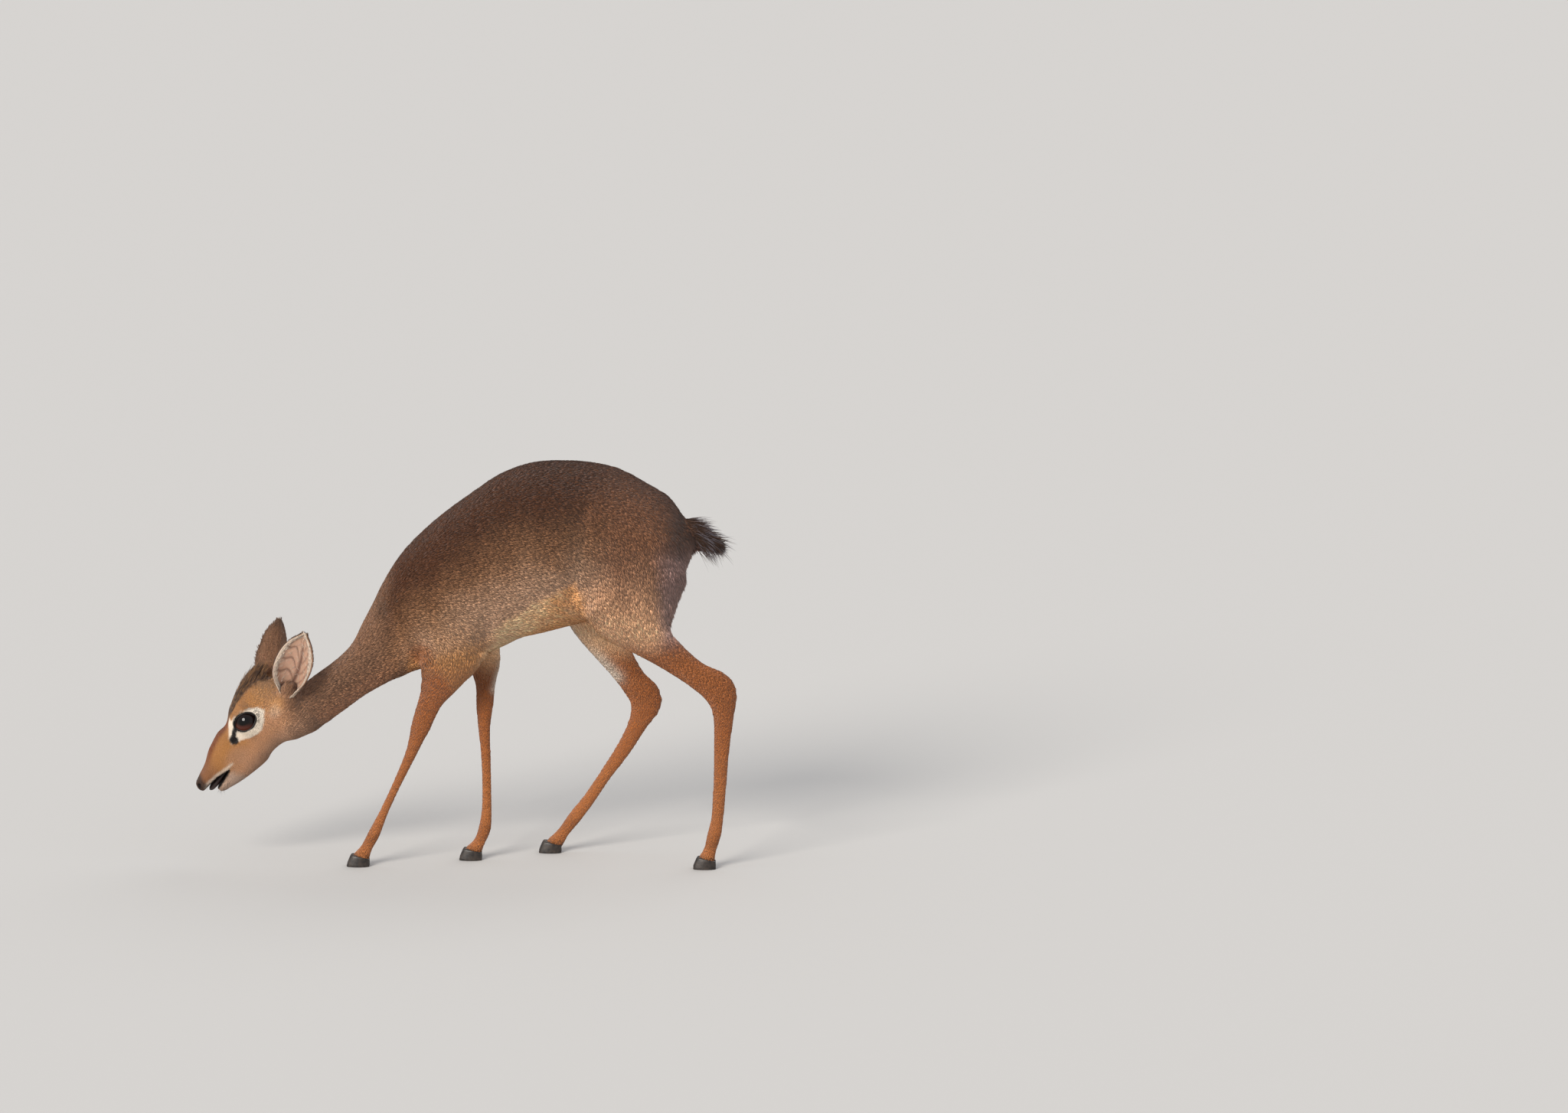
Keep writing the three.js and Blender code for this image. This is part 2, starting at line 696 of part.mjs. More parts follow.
// The nodes of a limb, parted at its elbow, knee and fetlock or at the like joints behind
function limb({ shape, forms, sign, root, joints, elbowPlane, cannonCell, foot }) {
  const [elbow, knee, fetlock, end] = joints;
  const level = new THREE.Matrix4();
  const roots = forms.flatMap((each) => each.stations.slice(0, (elbow + 1) * STEPS));
  const whole = facet(blended([spine, ...forms]), ...boxAround(roots, level, 13), THIGH_CELL);
  const inner = [new THREE.Vector3(), new THREE.Vector3(0, sign, 0)];
  const first = elbowPlane ?? stationPlane(shape, elbow);
  const [second, third] = [knee, fetlock].map((row) => stationPlane(shape, row));
  return {
    upper: largest(keep(whole.intersect(prism(inset(root), -90, 90)), inner, opposite(first))),
    lower: length(shape, elbow, knee, SHANK_CELL, [first, opposite(second)]),
    cannon: length(shape, knee, fetlock, cannonCell, [second, opposite(third)]),
    pastern: length(shape, fetlock, end, FOOT_CELL, [third, hoofTop(foot)]),
  };
}

// Hooves

const HOOF_LENGTH = 23;
const HOOF_WIDTH = 8.2;
const HOOF_CLEFT = 1.2;        // clear width between the two hooves of a foot
const HOOF_SIDES = 12;

// A hoof: a pointed half oval on the ground that narrows to its sloping top
function hoof(foot, sideSign) {
  const ring = (share, height) => {
    const row = [];
    for (let i = 0; i < HOOF_SIDES; i += 1) {
      const turn = (i / HOOF_SIDES) * Math.PI * 2;
      const toe = Math.max(Math.cos(turn), 0) ** 1.5;
      const width = (HOOF_WIDTH / 2) * Math.sin(turn) * (1 - 0.25 * toe);
      const x = foot[0] - Math.cos(turn) * (HOOF_LENGTH / 2) * (1 - 0.2 * share) + 2.2 * share;
      const inner = sideSign * (HOOF_CLEFT / 2 + HOOF_WIDTH / 2);
      const y = foot[1] + inner + width * (1 - 0.06 * share);
      row.push(new THREE.Vector3(x, y, height(x)));
    }
    return row;
  };
  const top = (x) => HOOF_TOP - JOIN_GAP - HOOF_TOP_SLOPE * (x - foot[0]);
  return rings([ring(0.12, () => 0), ring(0, () => 1.2), ring(0.55, (x) => top(x) * 0.55), ring(1, top)]);
}

// Tail

const TAIL_SIDES = 12;

// The tail's fleshy core, a row of rounded rings that narrows to its end
function tail(grow = 0) {
  const { stations } = form(TAIL, ACROSS, TAIL_CAP);
  const rows = stations.map(({ at, face, front, back, half }, r) => {
    const row = [];
    const centre = r ? at : at.clone().add(new THREE.Vector3(-grow, 0, 0));
    for (let i = 0; i < TAIL_SIDES; i += 1) {
      const turn = (i / TAIL_SIDES) * Math.PI * 2;
      const reach = (Math.cos(turn) > 0 ? front : back) + grow;
      row.push(centre.clone()
        .addScaledVector(face, reach * Math.cos(turn))
        .addScaledVector(ACROSS, (half + grow) * Math.sin(turn)));
    }
    return row;
  });
  const { at, along } = stations[stations.length - 1];
  return rings(rows, at.clone().addScaledVector(along, TAIL_CAP));
}

// The locks of the tail in rows down its length, from its upper side round to its lower one
const TAIL_LOCK_ROWS = [5, 7, 9];      // stations of the tail, clear of the rump
const TAIL_LOCKS_ROUND = 5;
const TAIL_LOCK = { length: 19, width: 8, thick: 2.4, rise: 4 };

function tailLocks() {
  const { stations } = form(TAIL, ACROSS, TAIL_CAP);
  return TAIL_LOCK_ROWS.flatMap((station, row) => {
    const { at, face, along, front, back, half } = stations[station];
    const share = station / (stations.length - 1);
    return Array.from({ length: TAIL_LOCKS_ROUND }, (_, i) => {
      const turn = ((i + 0.5 * (row % 2)) / TAIL_LOCKS_ROUND) * Math.PI * 2 + 0.1 * draw();
      const reach = Math.cos(turn) > 0 ? front : back;
      const out = face.clone().multiplyScalar(Math.cos(turn)).addScaledVector(ACROSS, Math.sin(turn));
      const root = at.clone()
        .addScaledVector(face, reach * Math.cos(turn))
        .addScaledVector(ACROSS, half * Math.sin(turn));
      const long = TAIL_LOCK.length * (1 + 0.12 * draw()) * (1 - 0.25 * share);
      const rise = TAIL_LOCK.rise * (1 - 0.5 * share);
      return lock({ ...TAIL_LOCK, root, out, lie: along, length: long, rise });
    });
  });
}

// Crest of the forehead: rows of locks from between the eyes to between the ears
const CREST_ROWS = [29, 21, 13, 5, -3];
const CREST_PLACES = [-9.5, -3.2, 3.2, 9.5];
const CREST_LOCK = { length: 17, width: 8.6, thick: 2.4 };
const CREST_RISES = [2.5, 3.5, 4, 4, 3.5];

function crestLocks(field) {
  return CREST_ROWS.flatMap((row, n) => CREST_PLACES.map((place) => {
    const aside = place + (n % 2 ? 1.5 : -1.5) + 0.6 * draw();
    const out = unit(HEAD.up.clone().addScaledVector(HEAD.side, aside * 0.03));
    const root = skinAt(field, inHead(row + draw(), 30, aside), HEAD.up);
    const lie = HEAD.along.clone().negate().addScaledVector(HEAD.side, aside * 0.02 + 0.08 * draw());
    const long = CREST_LOCK.length * (1 + 0.12 * draw());
    const rise = CREST_RISES[n] * (1 + 0.12 * draw());
    return lock({ ...CREST_LOCK, root, out, lie, length: long, rise });
  }));
}

// Mouth, lips and nostrils

// The opening of the mouth seen from the side, as places along the face and heights
const MOUTH = [[77, 11], [91, 14.6], [118, 15.6], [118, 6.5], [101, 6.6], [89, 8.2]];
const MOUTH_CORNER = 79;
const MOUTH_FRONT = 90;
const LIP_STEPS = 12;
const LIP_RADIUS = 1.4;
const LIPS = [[12.2, 15.8], [9.4, 6]];      // height at the corner and at the front, above and below
const LIP_SUNK = 0.7;
const LIP_TURN = 97;                        // degrees to each side of the muzzle's middle

function lips(field) {
  return LIPS.map(([corner, front]) => {
    const path = Array.from({ length: LIP_STEPS + 1 }, (_, n) => {
      const turn = THREE.MathUtils.degToRad(LIP_TURN * ((n / LIP_STEPS) * 2 - 1));
      const share = Math.max(Math.cos(turn), 0);
      const place = THREE.MathUtils.lerp(MOUTH_CORNER, MOUTH_FRONT, share);
      const from = inHead(place, THREE.MathUtils.lerp(corner, front, share), 0);
      const way = HEAD.along.clone().multiplyScalar(Math.cos(turn))
        .addScaledVector(HEAD.side, Math.sin(turn));
      return skinAt(field, from, way).addScaledVector(way, -LIP_SUNK);
    });
    return bead(path, LIP_RADIUS);
  });
}

// A block across the head with an outline of places along the face and heights
function headPrism(outline, reach) {
  const shape = new THREE.Shape(outline.map(([along, up]) => new THREE.Vector2(along, up)));
  const block = new THREE.ExtrudeGeometry(shape, { depth: 2 * reach, bevelEnabled: false });
  block.translate(0, 0, -reach);
  return solidOf(block, new THREE.Matrix4()
    .makeBasis(HEAD.along, HEAD.up, HEAD.side)
    .setPosition(HEAD.origin));
}

// A rounded hollow in the head, as a ball stretched along the face, upwards and sideways
function pit(centre, [along, up, aside]) {
  return solidOf(new THREE.SphereGeometry(1, 10, 6), new THREE.Matrix4()
    .makeBasis(HEAD.along, HEAD.up, HEAD.side)
    .setPosition(centre)
    .scale(new THREE.Vector3(along, up, aside)));
}

const NOSTRIL = { place: [98, 22, 5.4], way: [1, 0.12, 0.18], radii: [3, 1.9, 2.2] };
const GLAND_OUT = 1.6;
const GLAND = { place: [50, 22, 0], way: [0.25, 1], radii: [5.6, 3.4, 3.4] };

function facePits(field) {
  return [-1, 1].flatMap((sign) => {
    const [along, up, aside] = NOSTRIL.place;
    const forward = HEAD.along.clone().multiplyScalar(NOSTRIL.way[0])
      .addScaledVector(HEAD.up, NOSTRIL.way[1])
      .addScaledVector(HEAD.side, sign * NOSTRIL.way[2]);
    const way = HEAD.up.clone().multiplyScalar(GLAND.way[0])
      .addScaledVector(HEAD.side, sign * GLAND.way[1]);
    return [
      pit(skinAt(field, inHead(along, up, sign * aside), forward), NOSTRIL.radii),
      pit(skinAt(field, inHead(...GLAND.place), way).addScaledVector(unit(way), GLAND_OUT), GLAND.radii),
    ];
  });
}

// Ears

const EAR_LENGTH = 65;
const EAR_THICK = 1.7;
const EAR_ROOT_RADIUS = 8;
const EAR_HALF_WIDTHS = [8, 10.5, 14.5, 18, 19.5, 19.6, 18.4, 15.5, 10.5, 3];
const EAR_ROWS = 10;
const EAR_COLUMNS = 10;
const EAR_CURL_ROOT = 150;     // degrees that each edge wraps round from the back of the ear
const EAR_CURL_TIP = 48;

// The frame of an ear: its root on the head, its length and the way that its cup opens
const EARS = {
  left: { root: inHead(-22.3, 16.5, -24.5), axis: [0.22, -0.25, 0.94], opening: [-0.3, -0.95, 0] },
  right: { root: inHead(-17, 26, 22), axis: [-0.06, 0.18, 0.98], opening: [-0.75, 0.66, 0] },
};

function earFrame({ root, axis, opening }) {
  const along = unit(new THREE.Vector3(...axis));
  const open = new THREE.Vector3(...opening);
  open.addScaledVector(along, -open.dot(along)).normalize();
  return { root, along, open, across: new THREE.Vector3().crossVectors(along, open) };
}

// The cup of an ear: a leaf-shaped sheet, rolled almost shut at its root and open at its tip
function ear(frame) {
  const { root, along, open, across } = frame;
  const outer = [];
  const inner = [];
  for (let r = 0; r <= EAR_ROWS; r += 1) {
    const u = r / EAR_ROWS;
    const slot = u * (EAR_HALF_WIDTHS.length - 1);
    const k = Math.min(Math.floor(slot), EAR_HALF_WIDTHS.length - 2);
    const pick = (n) => EAR_HALF_WIDTHS[THREE.MathUtils.clamp(n, 0, EAR_HALF_WIDTHS.length - 1)];
    const half = between(pick(k - 1), pick(k), pick(k + 1), pick(k + 2), slot - k);
    const curl = THREE.MathUtils.degToRad(
      THREE.MathUtils.lerp(EAR_CURL_ROOT, EAR_CURL_TIP, Math.min(1, 1.5 * u) ** 0.7));
    const radius = half / Math.sin(Math.min(curl, Math.PI / 2));
    const lean = 5 * u * u;
    for (let c = 0; c <= EAR_COLUMNS; c += 1) {
      const angle = curl * ((c / EAR_COLUMNS) * 2 - 1);
      for (const [list, size] of [[outer, radius], [inner, radius - EAR_THICK]]) {
        list.push(root.clone()
          .addScaledVector(along, u * EAR_LENGTH)
          .addScaledVector(across, size * Math.sin(angle))
          .addScaledVector(open, radius - EAR_ROOT_RADIUS - size * Math.cos(angle) - lean));
      }
    }
  }
  const columns = EAR_COLUMNS + 1;
  const shift = outer.length;
  const triangles = [];
  const quad = (a, b, c, d) => triangles.push(a, b, c, a, c, d);
  for (let r = 0; r < EAR_ROWS; r += 1) {
    for (let c = 0; c < EAR_COLUMNS; c += 1) {
      const a = r * columns + c;
      quad(a, a + 1, a + columns + 1, a + columns);
      quad(shift + a, shift + a + columns, shift + a + columns + 1, shift + a + 1);
    }
    const left = r * columns;
    const right = left + EAR_COLUMNS;
    quad(left, left + columns, shift + left + columns, shift + left);
    quad(right, shift + right, shift + right + columns, right + columns);
  }
  const top = EAR_ROWS * columns;
  for (let c = 0; c < EAR_COLUMNS; c += 1) {
    quad(c, shift + c, shift + c + 1, c + 1);
    quad(top + c, top + c + 1, shift + top + c + 1, shift + top + c);
  }
  return solidFrom([...outer, ...inner], triangles);
}

// The root of an ear: a short cone that fills the bottom of the cup and is sunk in the head
const EAR_SUNK = 7;
const EAR_FILLED = 10;
function earRoot({ root, along, open, across }, grow = 0) {
  const ring = (height, radius) => {
    const row = [];
    for (let i = 0; i < 12; i += 1) {
      const turn = (i / 12) * Math.PI * 2;
      row.push(root.clone()
        .addScaledVector(along, height)
        .addScaledVector(across, radius * Math.sin(turn))
        .addScaledVector(open, -radius * Math.cos(turn)));
    }
    return row;
  };
  return rings([
    ring(-EAR_SUNK - grow, EAR_ROOT_RADIUS - 2 + grow),
    ring(0, EAR_ROOT_RADIUS + grow),
    ring(EAR_FILLED, EAR_ROOT_RADIUS + 3 + 5 * grow),
  ]);
}

// Eyes

const EYE_RADIUS = 13.5;
const EYE_PLACE = [25.8, 29.6];
const EYES = { left: inHead(...EYE_PLACE, -EYE_SIDE), right: inHead(...EYE_PLACE, EYE_SIDE) };
// The opening between the lids: half its length and height, and its lean towards the forehead
const LID_OPENING = [11.6, 8.4];
const LID_LEAN = 22;
const LID_OUT = [0.05, 0.25, 0.97];  // the way that an eye looks, along the face, up and outwards
const LID_SIDES = 14;

// The bar with an oval section that cuts the opening between the lids
function lidOpening(centre, sign) {
  const [along, up, aside] = LID_OUT;
  const out = unit(HEAD.along.clone().multiplyScalar(along)
    .addScaledVector(HEAD.up, up)
    .addScaledVector(HEAD.side, sign * aside));
  const lean = THREE.MathUtils.degToRad(LID_LEAN);
  const long = HEAD.along.clone().multiplyScalar(Math.cos(lean)).addScaledVector(HEAD.up, Math.sin(lean));
  long.addScaledVector(out, -long.dot(out)).normalize();
  const high = new THREE.Vector3().crossVectors(out, long);
  const ring = (far, size) => Array.from({ length: LID_SIDES }, (_, i) => {
    const turn = (i / LID_SIDES) * Math.PI * 2;
    return centre.clone()
      .addScaledVector(out, far)
      .addScaledVector(long, size * LID_OPENING[0] * Math.cos(turn))
      .addScaledVector(high, size * LID_OPENING[1] * Math.sin(turn));
  });
  return rings([ring(0, 0.8), ring(EYE_RADIUS * 0.7, 1), ring(EYE_RADIUS * 2, 1.3)]);
}

const ball = (centre, radius) => solidOf(
  new THREE.SphereGeometry(radius, 16, 10),
  new THREE.Matrix4().makeTranslation(...centre.toArray()));

// Colours

const COLOURS = {
  back: '#6d5a49', neck: '#7d6a58', face: '#a97b52', leg: '#a8713f', hoof: '#1c1815',
  eye: '#120c09', ear: '#8b7a6a', tail: '#3a2f28',
};

function material(colour, roughness) {
  return new THREE.MeshStandardMaterial({ color: colour, roughness, metalness: 0 });
}

// Assembly

const group = new THREE.Group();

function add(name, solid, colour, roughness = 0.9) {
  const { vertProperties, triVerts } = tidy(solid).getMesh();
  const geometry = new THREE.BufferGeometry();
  geometry.setAttribute('position', new THREE.BufferAttribute(vertProperties, 3));
  geometry.setIndex(new THREE.BufferAttribute(triVerts, 1));
  geometry.computeVertexNormals();
  const mesh = new THREE.Mesh(geometry, material(colour, roughness));
  mesh.name = name;
  group.add(mesh);
}

const FORE = { root: FORE_ROOT, joints: [3, 6, 10, 12], cannonCell: FORE_CANNON_CELL };
const HIND = { root: HIND_ROOT, joints: [2, 5, 10, 12], cannonCell: HIND_CANNON_CELL };
const thighEnd = (x, z, lean) => [new THREE.Vector3(x, 0, z), unit(new THREE.Vector3(lean, 0, -1))];
const LEGS = {
  fore_left: { ...FORE, shape: nearFore, forms: [nearFore], sign: -1, foot: [-107, -26] },
  fore_right: { ...FORE, shape: farFore, forms: [farFore], sign: 1, foot: [6, 5] },
  hind_left: {
    ...HIND, shape: nearHind, forms: [nearHam, nearHind], sign: -1, foot: [244, -40],
    elbowPlane: thighEnd(182, 233.5, 0.16),
  },
  hind_right: {
    ...HIND, shape: farHind, forms: [farHam, farHind], sign: 1, foot: [86, 41],
    elbowPlane: thighEnd(142, 231.5, -0.05),
  },
};

add('torso', largest(torso().subtract(tail(JOIN_GAP))), COLOURS.back);
add('neck', neck(), COLOURS.neck);
add('tail', largest(tailLocks().reduce((all, one) => all.add(one), tail())), COLOURS.tail);

for (const [name, leg] of Object.entries(LEGS)) {
  for (const [part, solid] of Object.entries(limb(leg))) {
    add(`${name}_${part}`, solid, COLOURS.leg);
  }
  add(`${name}_hoof_outer`, hoof(leg.foot, leg.sign), COLOURS.hoof, 0.45);
  add(`${name}_hoof_inner`, hoof(leg.foot, -leg.sign), COLOURS.hoof, 0.45);
}

const headField = blended(HEAD_FORMS);
let face = [...lips(headField), ...crestLocks(headField)].reduce((all, one) => all.add(one), head());
face = face.subtract(headPrism(MOUTH, 40));
face = facePits(headField).reduce((rest, hollow) => rest.subtract(hollow), face);
for (const [name, centre] of Object.entries(EYES)) {
  face = face.subtract(ball(centre, EYE_RADIUS + JOIN_GAP));
  face = face.subtract(lidOpening(centre, name === 'left' ? -1 : 1));
  add(`eye_${name}`, ball(centre, EYE_RADIUS), COLOURS.eye, 0.1);
}
for (const [name, place] of Object.entries(EARS)) {
  const frame = earFrame(place);
  face = face.subtract(earRoot(frame, JOIN_GAP));
  add(`ear_${name}`, largest(ear(frame).add(earRoot(frame))), COLOURS.ear);
}
add('head', largest(face), COLOURS.face);

group.position.set(-MIDDLE_X, -MIDDLE_Y, 0);

export default group;
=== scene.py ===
"""A dik dik, a dwarf antelope, life size and still, grazing with its head low in mid step.

The skin is one closed surface. It is worked out as the place where a distance is zero: each part of
the body is a centreline with an oval section at each station, and the parts run into one another.
The coat is made of many small solid tufts of hair that stand on the skin and lie along it.
Lengths in the tables are millimetres. +Z is up, the head points to -X and the right side to +Y.
"""

import math
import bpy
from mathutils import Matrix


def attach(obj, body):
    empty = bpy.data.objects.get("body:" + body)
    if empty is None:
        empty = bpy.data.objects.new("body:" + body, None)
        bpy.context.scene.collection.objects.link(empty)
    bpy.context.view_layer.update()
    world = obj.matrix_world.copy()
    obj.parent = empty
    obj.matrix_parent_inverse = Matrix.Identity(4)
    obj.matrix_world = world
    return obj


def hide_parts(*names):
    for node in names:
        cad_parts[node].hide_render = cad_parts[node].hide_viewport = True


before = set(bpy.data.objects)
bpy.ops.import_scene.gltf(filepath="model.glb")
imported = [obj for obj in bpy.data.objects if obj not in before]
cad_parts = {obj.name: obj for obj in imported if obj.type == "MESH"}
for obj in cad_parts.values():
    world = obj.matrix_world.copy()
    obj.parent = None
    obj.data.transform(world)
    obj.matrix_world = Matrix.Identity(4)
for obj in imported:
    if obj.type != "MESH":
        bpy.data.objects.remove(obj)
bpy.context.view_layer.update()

from concurrent.futures import ThreadPoolExecutor
from functools import lru_cache

import bpy
import numpy as np
from bpy.props import FloatProperty, FloatVectorProperty, IntProperty, PointerProperty

bl_info = {
    "name": "Dik dik",
    "version": (1, 0, 0),
    "blender": (4, 5, 0),
    "location": "View3D > Sidebar > Dik dik",
    "description": "Builds a life-size dik dik with its skin, coat, ears, eyes and hooves",
    "category": "Add Mesh",
}

MM = 0.001
MIDDLE = np.array([3.6, 0, 0])     # middle of the animal in the tables' own frame
BLEND = 5                          # width over which one form runs into the next
STEPS = 3                          # short lengths between two stations of a form
FAR = 60.0                         # distance given to points well clear of a form
MARGIN = 26                        # room round a form inside which its distance is worked out
WORKERS = 4
TINY = 1e-9                          # kept out of divisions by nothing
NECK_BACK = -140                     # x in front of which no place is on a leg
HEAD_FRONT = -165                    # x behind which the head has no openings

# Trunk and neck from rump to throat
# Each station: x, y, z of the centre, reach upwards, reach downwards, half the width
SPINE = [
    [214, 0, 322, 30, 34, 30],       # root of the tail
    [200, 0, 324, 49, 54, 41],       # point of the rump
    [180, 0, 327, 63, 64, 49],       # croup
    [150, 0, 328, 80, 73, 54],       # top of the haunch
    [120, 0, 325, 89, 77, 57],       # loins
    [90, 0, 319, 94, 79, 58],
    [60, 0, 311, 90, 79, 58],        # belly
    [30, 0, 301, 79, 77, 57],
    [2, 0, 288, 70, 77, 53],         # ribs
    [-24, 0, 272, 61, 72, 48],       # withers
    [-46, 0, 254, 50, 63, 42],       # shoulder
    [-64, 0, 236, 40, 49, 35],       # breast
    [-80, -1, 218, 34, 34, 28],      # root of the neck
    [-97, -2, 203, 27, 27, 24],
    [-116, -4, 189, 24, 24, 22],
    [-138, -6, 173, 24, 24, 22],
    [-160, -8, 157, 24, 23, 22],
    [-176, -9, 148, 22, 21, 21],     # throat
]
# Limbs from the trunk to the top of the hoof
# Each station: x, y, z of the centre, reach forwards, reach backwards, half the width
NEAR_FORE = [
    [-22, -24, 262, 30, 36, 17],     # shoulder
    [-10, -27, 228, 34, 36, 18],
    [-18, -28, 200, 26, 23, 15],     # elbow
    [-31, -28, 176, 13, 15, 10.5],
    [-38, -28, 158, 11, 12, 9],
    [-42.5, -28, 144, 10.5, 10.5, 9],
    [-46, -27.5, 133, 9, 8, 8.5],    # knee
    [-53, -27, 115, 6.6, 6.3, 6.8],
    [-66, -26.5, 87, 5.2, 5.2, 5.6],
    [-80, -26, 57, 5, 5.2, 5.8],
    [-91, -26, 33, 6.5, 7, 7.5],     # fetlock
    [-99, -26, 18, 6.2, 6.5, 7],
    [-104, -26, 8, 9.5, 9, 9],       # top of the hoof
]
FAR_FORE = [
    [-20, 22, 258, 30, 36, 17],
    [4, 22, 230, 32, 34, 18],
    [20, 21, 206, 22, 18, 14],
    [22, 19.5, 181, 11.5, 10.5, 10],
    [21, 17, 157, 9.5, 9, 8],
    [20.5, 15.5, 144, 8, 7.5, 8],
    [20.5, 14, 133, 7, 6.5, 7.8],
    [21.5, 12, 113, 6, 5.8, 6.3],
    [22.5, 9.5, 84, 5.4, 5.4, 5.6],
    [22.5, 7, 56, 5.5, 5.8, 5.8],
    [20.5, 5.5, 32, 7, 7, 7.5],
    [14, 5, 17, 6.2, 6.5, 7],
    [8.5, 5, 8, 9.5, 9, 9],
]
NEAR_HAM = [
    [182, -26, 338, 52, 34, 20],     # hip
    [176, -31, 308, 60, 51, 23],
    [172, -34, 280, 59, 47, 23],
    [168, -36, 258, 45, 43, 20],
    [166, -37, 242, 30, 38, 15],
]
NEAR_HIND = [
    [142, -36, 274, 20, 24, 18],     # stifle
    [160, -37, 258, 24, 24, 18],
    [185, -39, 240, 22, 20, 15],
    [212, -41, 218, 16, 15.5, 12],
    [236, -42.5, 200, 14, 14, 10],
    [257, -43, 183, 15, 20, 9],      # hock
    [263, -43, 160, 11, 12, 8.5],
    [261.5, -43, 124, 8.8, 8.8, 7],
    [259.5, -42, 85, 7.4, 7.6, 6.5],
    [257, -41, 52, 6.8, 7, 7],
    [253.5, -40.5, 34, 7.5, 8, 8],   # fetlock
    [249, -40, 18, 6.5, 7, 7.3],
    [246, -40, 8, 9.5, 9, 9.3],
]
FAR_HAM = [
    [180, 27, 336, 52, 34, 20],
    [168, 31, 305, 58, 54, 22],
    [158, 34, 278, 56, 54, 22],
    [150, 36, 256, 44, 48, 19],
    [143, 37, 240, 28, 38, 15],
]
FAR_HIND = [
    [116, 35, 274, 18, 24, 18],
    [125, 36, 252, 24, 26, 18],
    [140, 38, 226, 22, 23, 15],
    [158, 39, 198, 17, 16.5, 12],
    [171, 40, 178, 15, 15, 10],
    [183, 40.5, 158, 16, 19, 9.5],
    [176, 40.5, 134, 11, 11, 8.5],
    [161, 40.5, 107, 9, 9, 7],
    [141, 41, 78, 7.4, 7.4, 6.5],
    [125, 41, 54, 7.5, 7.5, 7],
    [111, 41, 36, 8, 8, 8],
    [99, 41, 20, 7, 7, 7.3],
    [90, 41, 8, 9.5, 9, 9.3],
]
TAIL = [
    [210, 0, 342, 13, 12, 11],
    [226, 0, 339, 12, 11, 9.5],
    [238, 0, 334, 9.5, 9, 7.5],
    [250, 0, 328, 6, 6, 5],
]
# Head, in its own frame: along the face, up from its middle line, and sideways
HEAD_ORIGIN = np.array([-181.0, -5, 150])
HEAD_PITCH, HEAD_YAW, HEAD_ROLL = 50, 5, 1       # degrees
# Each station: place along the face, height, reach up, reach down, half the width
SKULL = [
    [-16, 16, 25, 29, 23],
    [-2, 16, 31, 31, 27.5],
    [12, 16, 29.5, 31, 29],
    [27, 16, 25, 30, 27],
    [42, 15, 24.5, 27, 22.5],
    [56, 15, 25, 24, 18],
    [70, 15, 22, 19, 15],
]
SNOUT = [
    [58, 19, 20, 13, 15],
    [72, 19.5, 16.5, 12, 14.3],
    [86, 20.5, 12.5, 10, 13.8],
    [97, 22, 8.6, 9, 13],
    [105, 20.5, 8, 6.5, 11],
]
JAW = [
    [48, 3, 9, 15, 15],
    [66, 2, 8, 11.5, 12.5],
    [82, 2, 6, 8, 10.5],
    [94, 3.5, 4.5, 6, 8.5],
]
LIDS = [
    [20.5, 29.6, 14, 14.2, 14.4],
    [31, 29.6, 14, 14.2, 14.4],
]
CREST = [
    [26, 38, 4, 10, 8],
    [15, 40, 8.5, 10, 11],
    [3, 41, 9.5, 10, 12],
    [-8, 41, 6, 10, 11],
]

EYE_RADIUS = 13.5
EYE_PLACE = [25.8, 29.6]
EYE_SIDE = 16.5
LID_OPENING = [11.8, 8.6]            # half the length and height of the opening between the lids
LID_LEAN = 22                        # degrees that it leans up towards the forehead
LID_OUT = [0.05, 0.25, 0.97]         # the way that an eye looks: along the face, up, outwards
MOUTH = [[77, 11], [91, 14.6], [118, 15.6], [118, 6.5], [101, 6.6], [89, 8.2]]
NOSTRIL = {"place": [98, 22, 5.4], "way": [1, 0.12, 0.18], "radii": [3.2, 1.5, 2.4]}
GLAND = {"place": [50, 22, 0], "way": [0, 0.25, 1], "radii": [5.2, 2.6, 2.6], "out": 1.2}

EAR_LENGTH = 65
EAR_THICK = 1.3
EAR_ROOT_RADIUS = 8
EAR_STALK = [(-9, 9), (0, 8.6), (8, 7)]          # heights from the root and radii of its fleshy stalk
EAR_HALF_WIDTHS = [8, 10.5, 14.5, 18, 19.5, 19.6, 18.4, 15.5, 10.5, 3]
EAR_CURL_ROOT, EAR_CURL_TIP = 150, 48            # degrees that each edge wraps round
EARS = {
    "left": {"root": [-22.3, 16.5, -24.5], "axis": [0.22, -0.25, 0.94], "opening": [-0.3, -0.95, 0]},
    "right": {"root": [-17, 26, 22], "axis": [-0.06, 0.18, 0.98], "opening": [-0.75, 0.66, 0]},
}
HOOF_TOP, HOOF_TOP_SLOPE = 10.5, 0.3
HOOF_LENGTH, HOOF_WIDTH, HOOF_CLEFT = 23, 8.2, 1.2
FEET = {                             # x and y of the middle of each foot, and the side it is on
    "fore_left": (-107, -26, -1),
    "fore_right": (6, 5, 1),
    "hind_left": (244, -40, -1),
    "hind_right": (86, 41, 1),
}


# Small maths

def unit(v):
    """Each vector divided by its length"""
    return v / np.maximum(np.linalg.norm(v, axis=-1, keepdims=True), TINY)


def smooth(start, end, x):
    """A share that runs from 0 at start to 1 at end as 3t^2 - 2t^3"""
    t = np.clip((x - start) / (end - start), 0, 1)
    return t * t * (3 - 2 * t)


def mix(a, b, share):
    """a where share is 0, b where it is 1, and between them in proportion"""
    return a + (b - a) * share


def blend(a, b, share):
    """Two colours, or two lists of them, mixed by a share for each place"""
    return a + (b - a) * np.asarray(share)[..., None]


def to_row(points):
    """Places of the tables, in millimetres, as places of the model, in metres"""
    return (points - MIDDLE) * MM


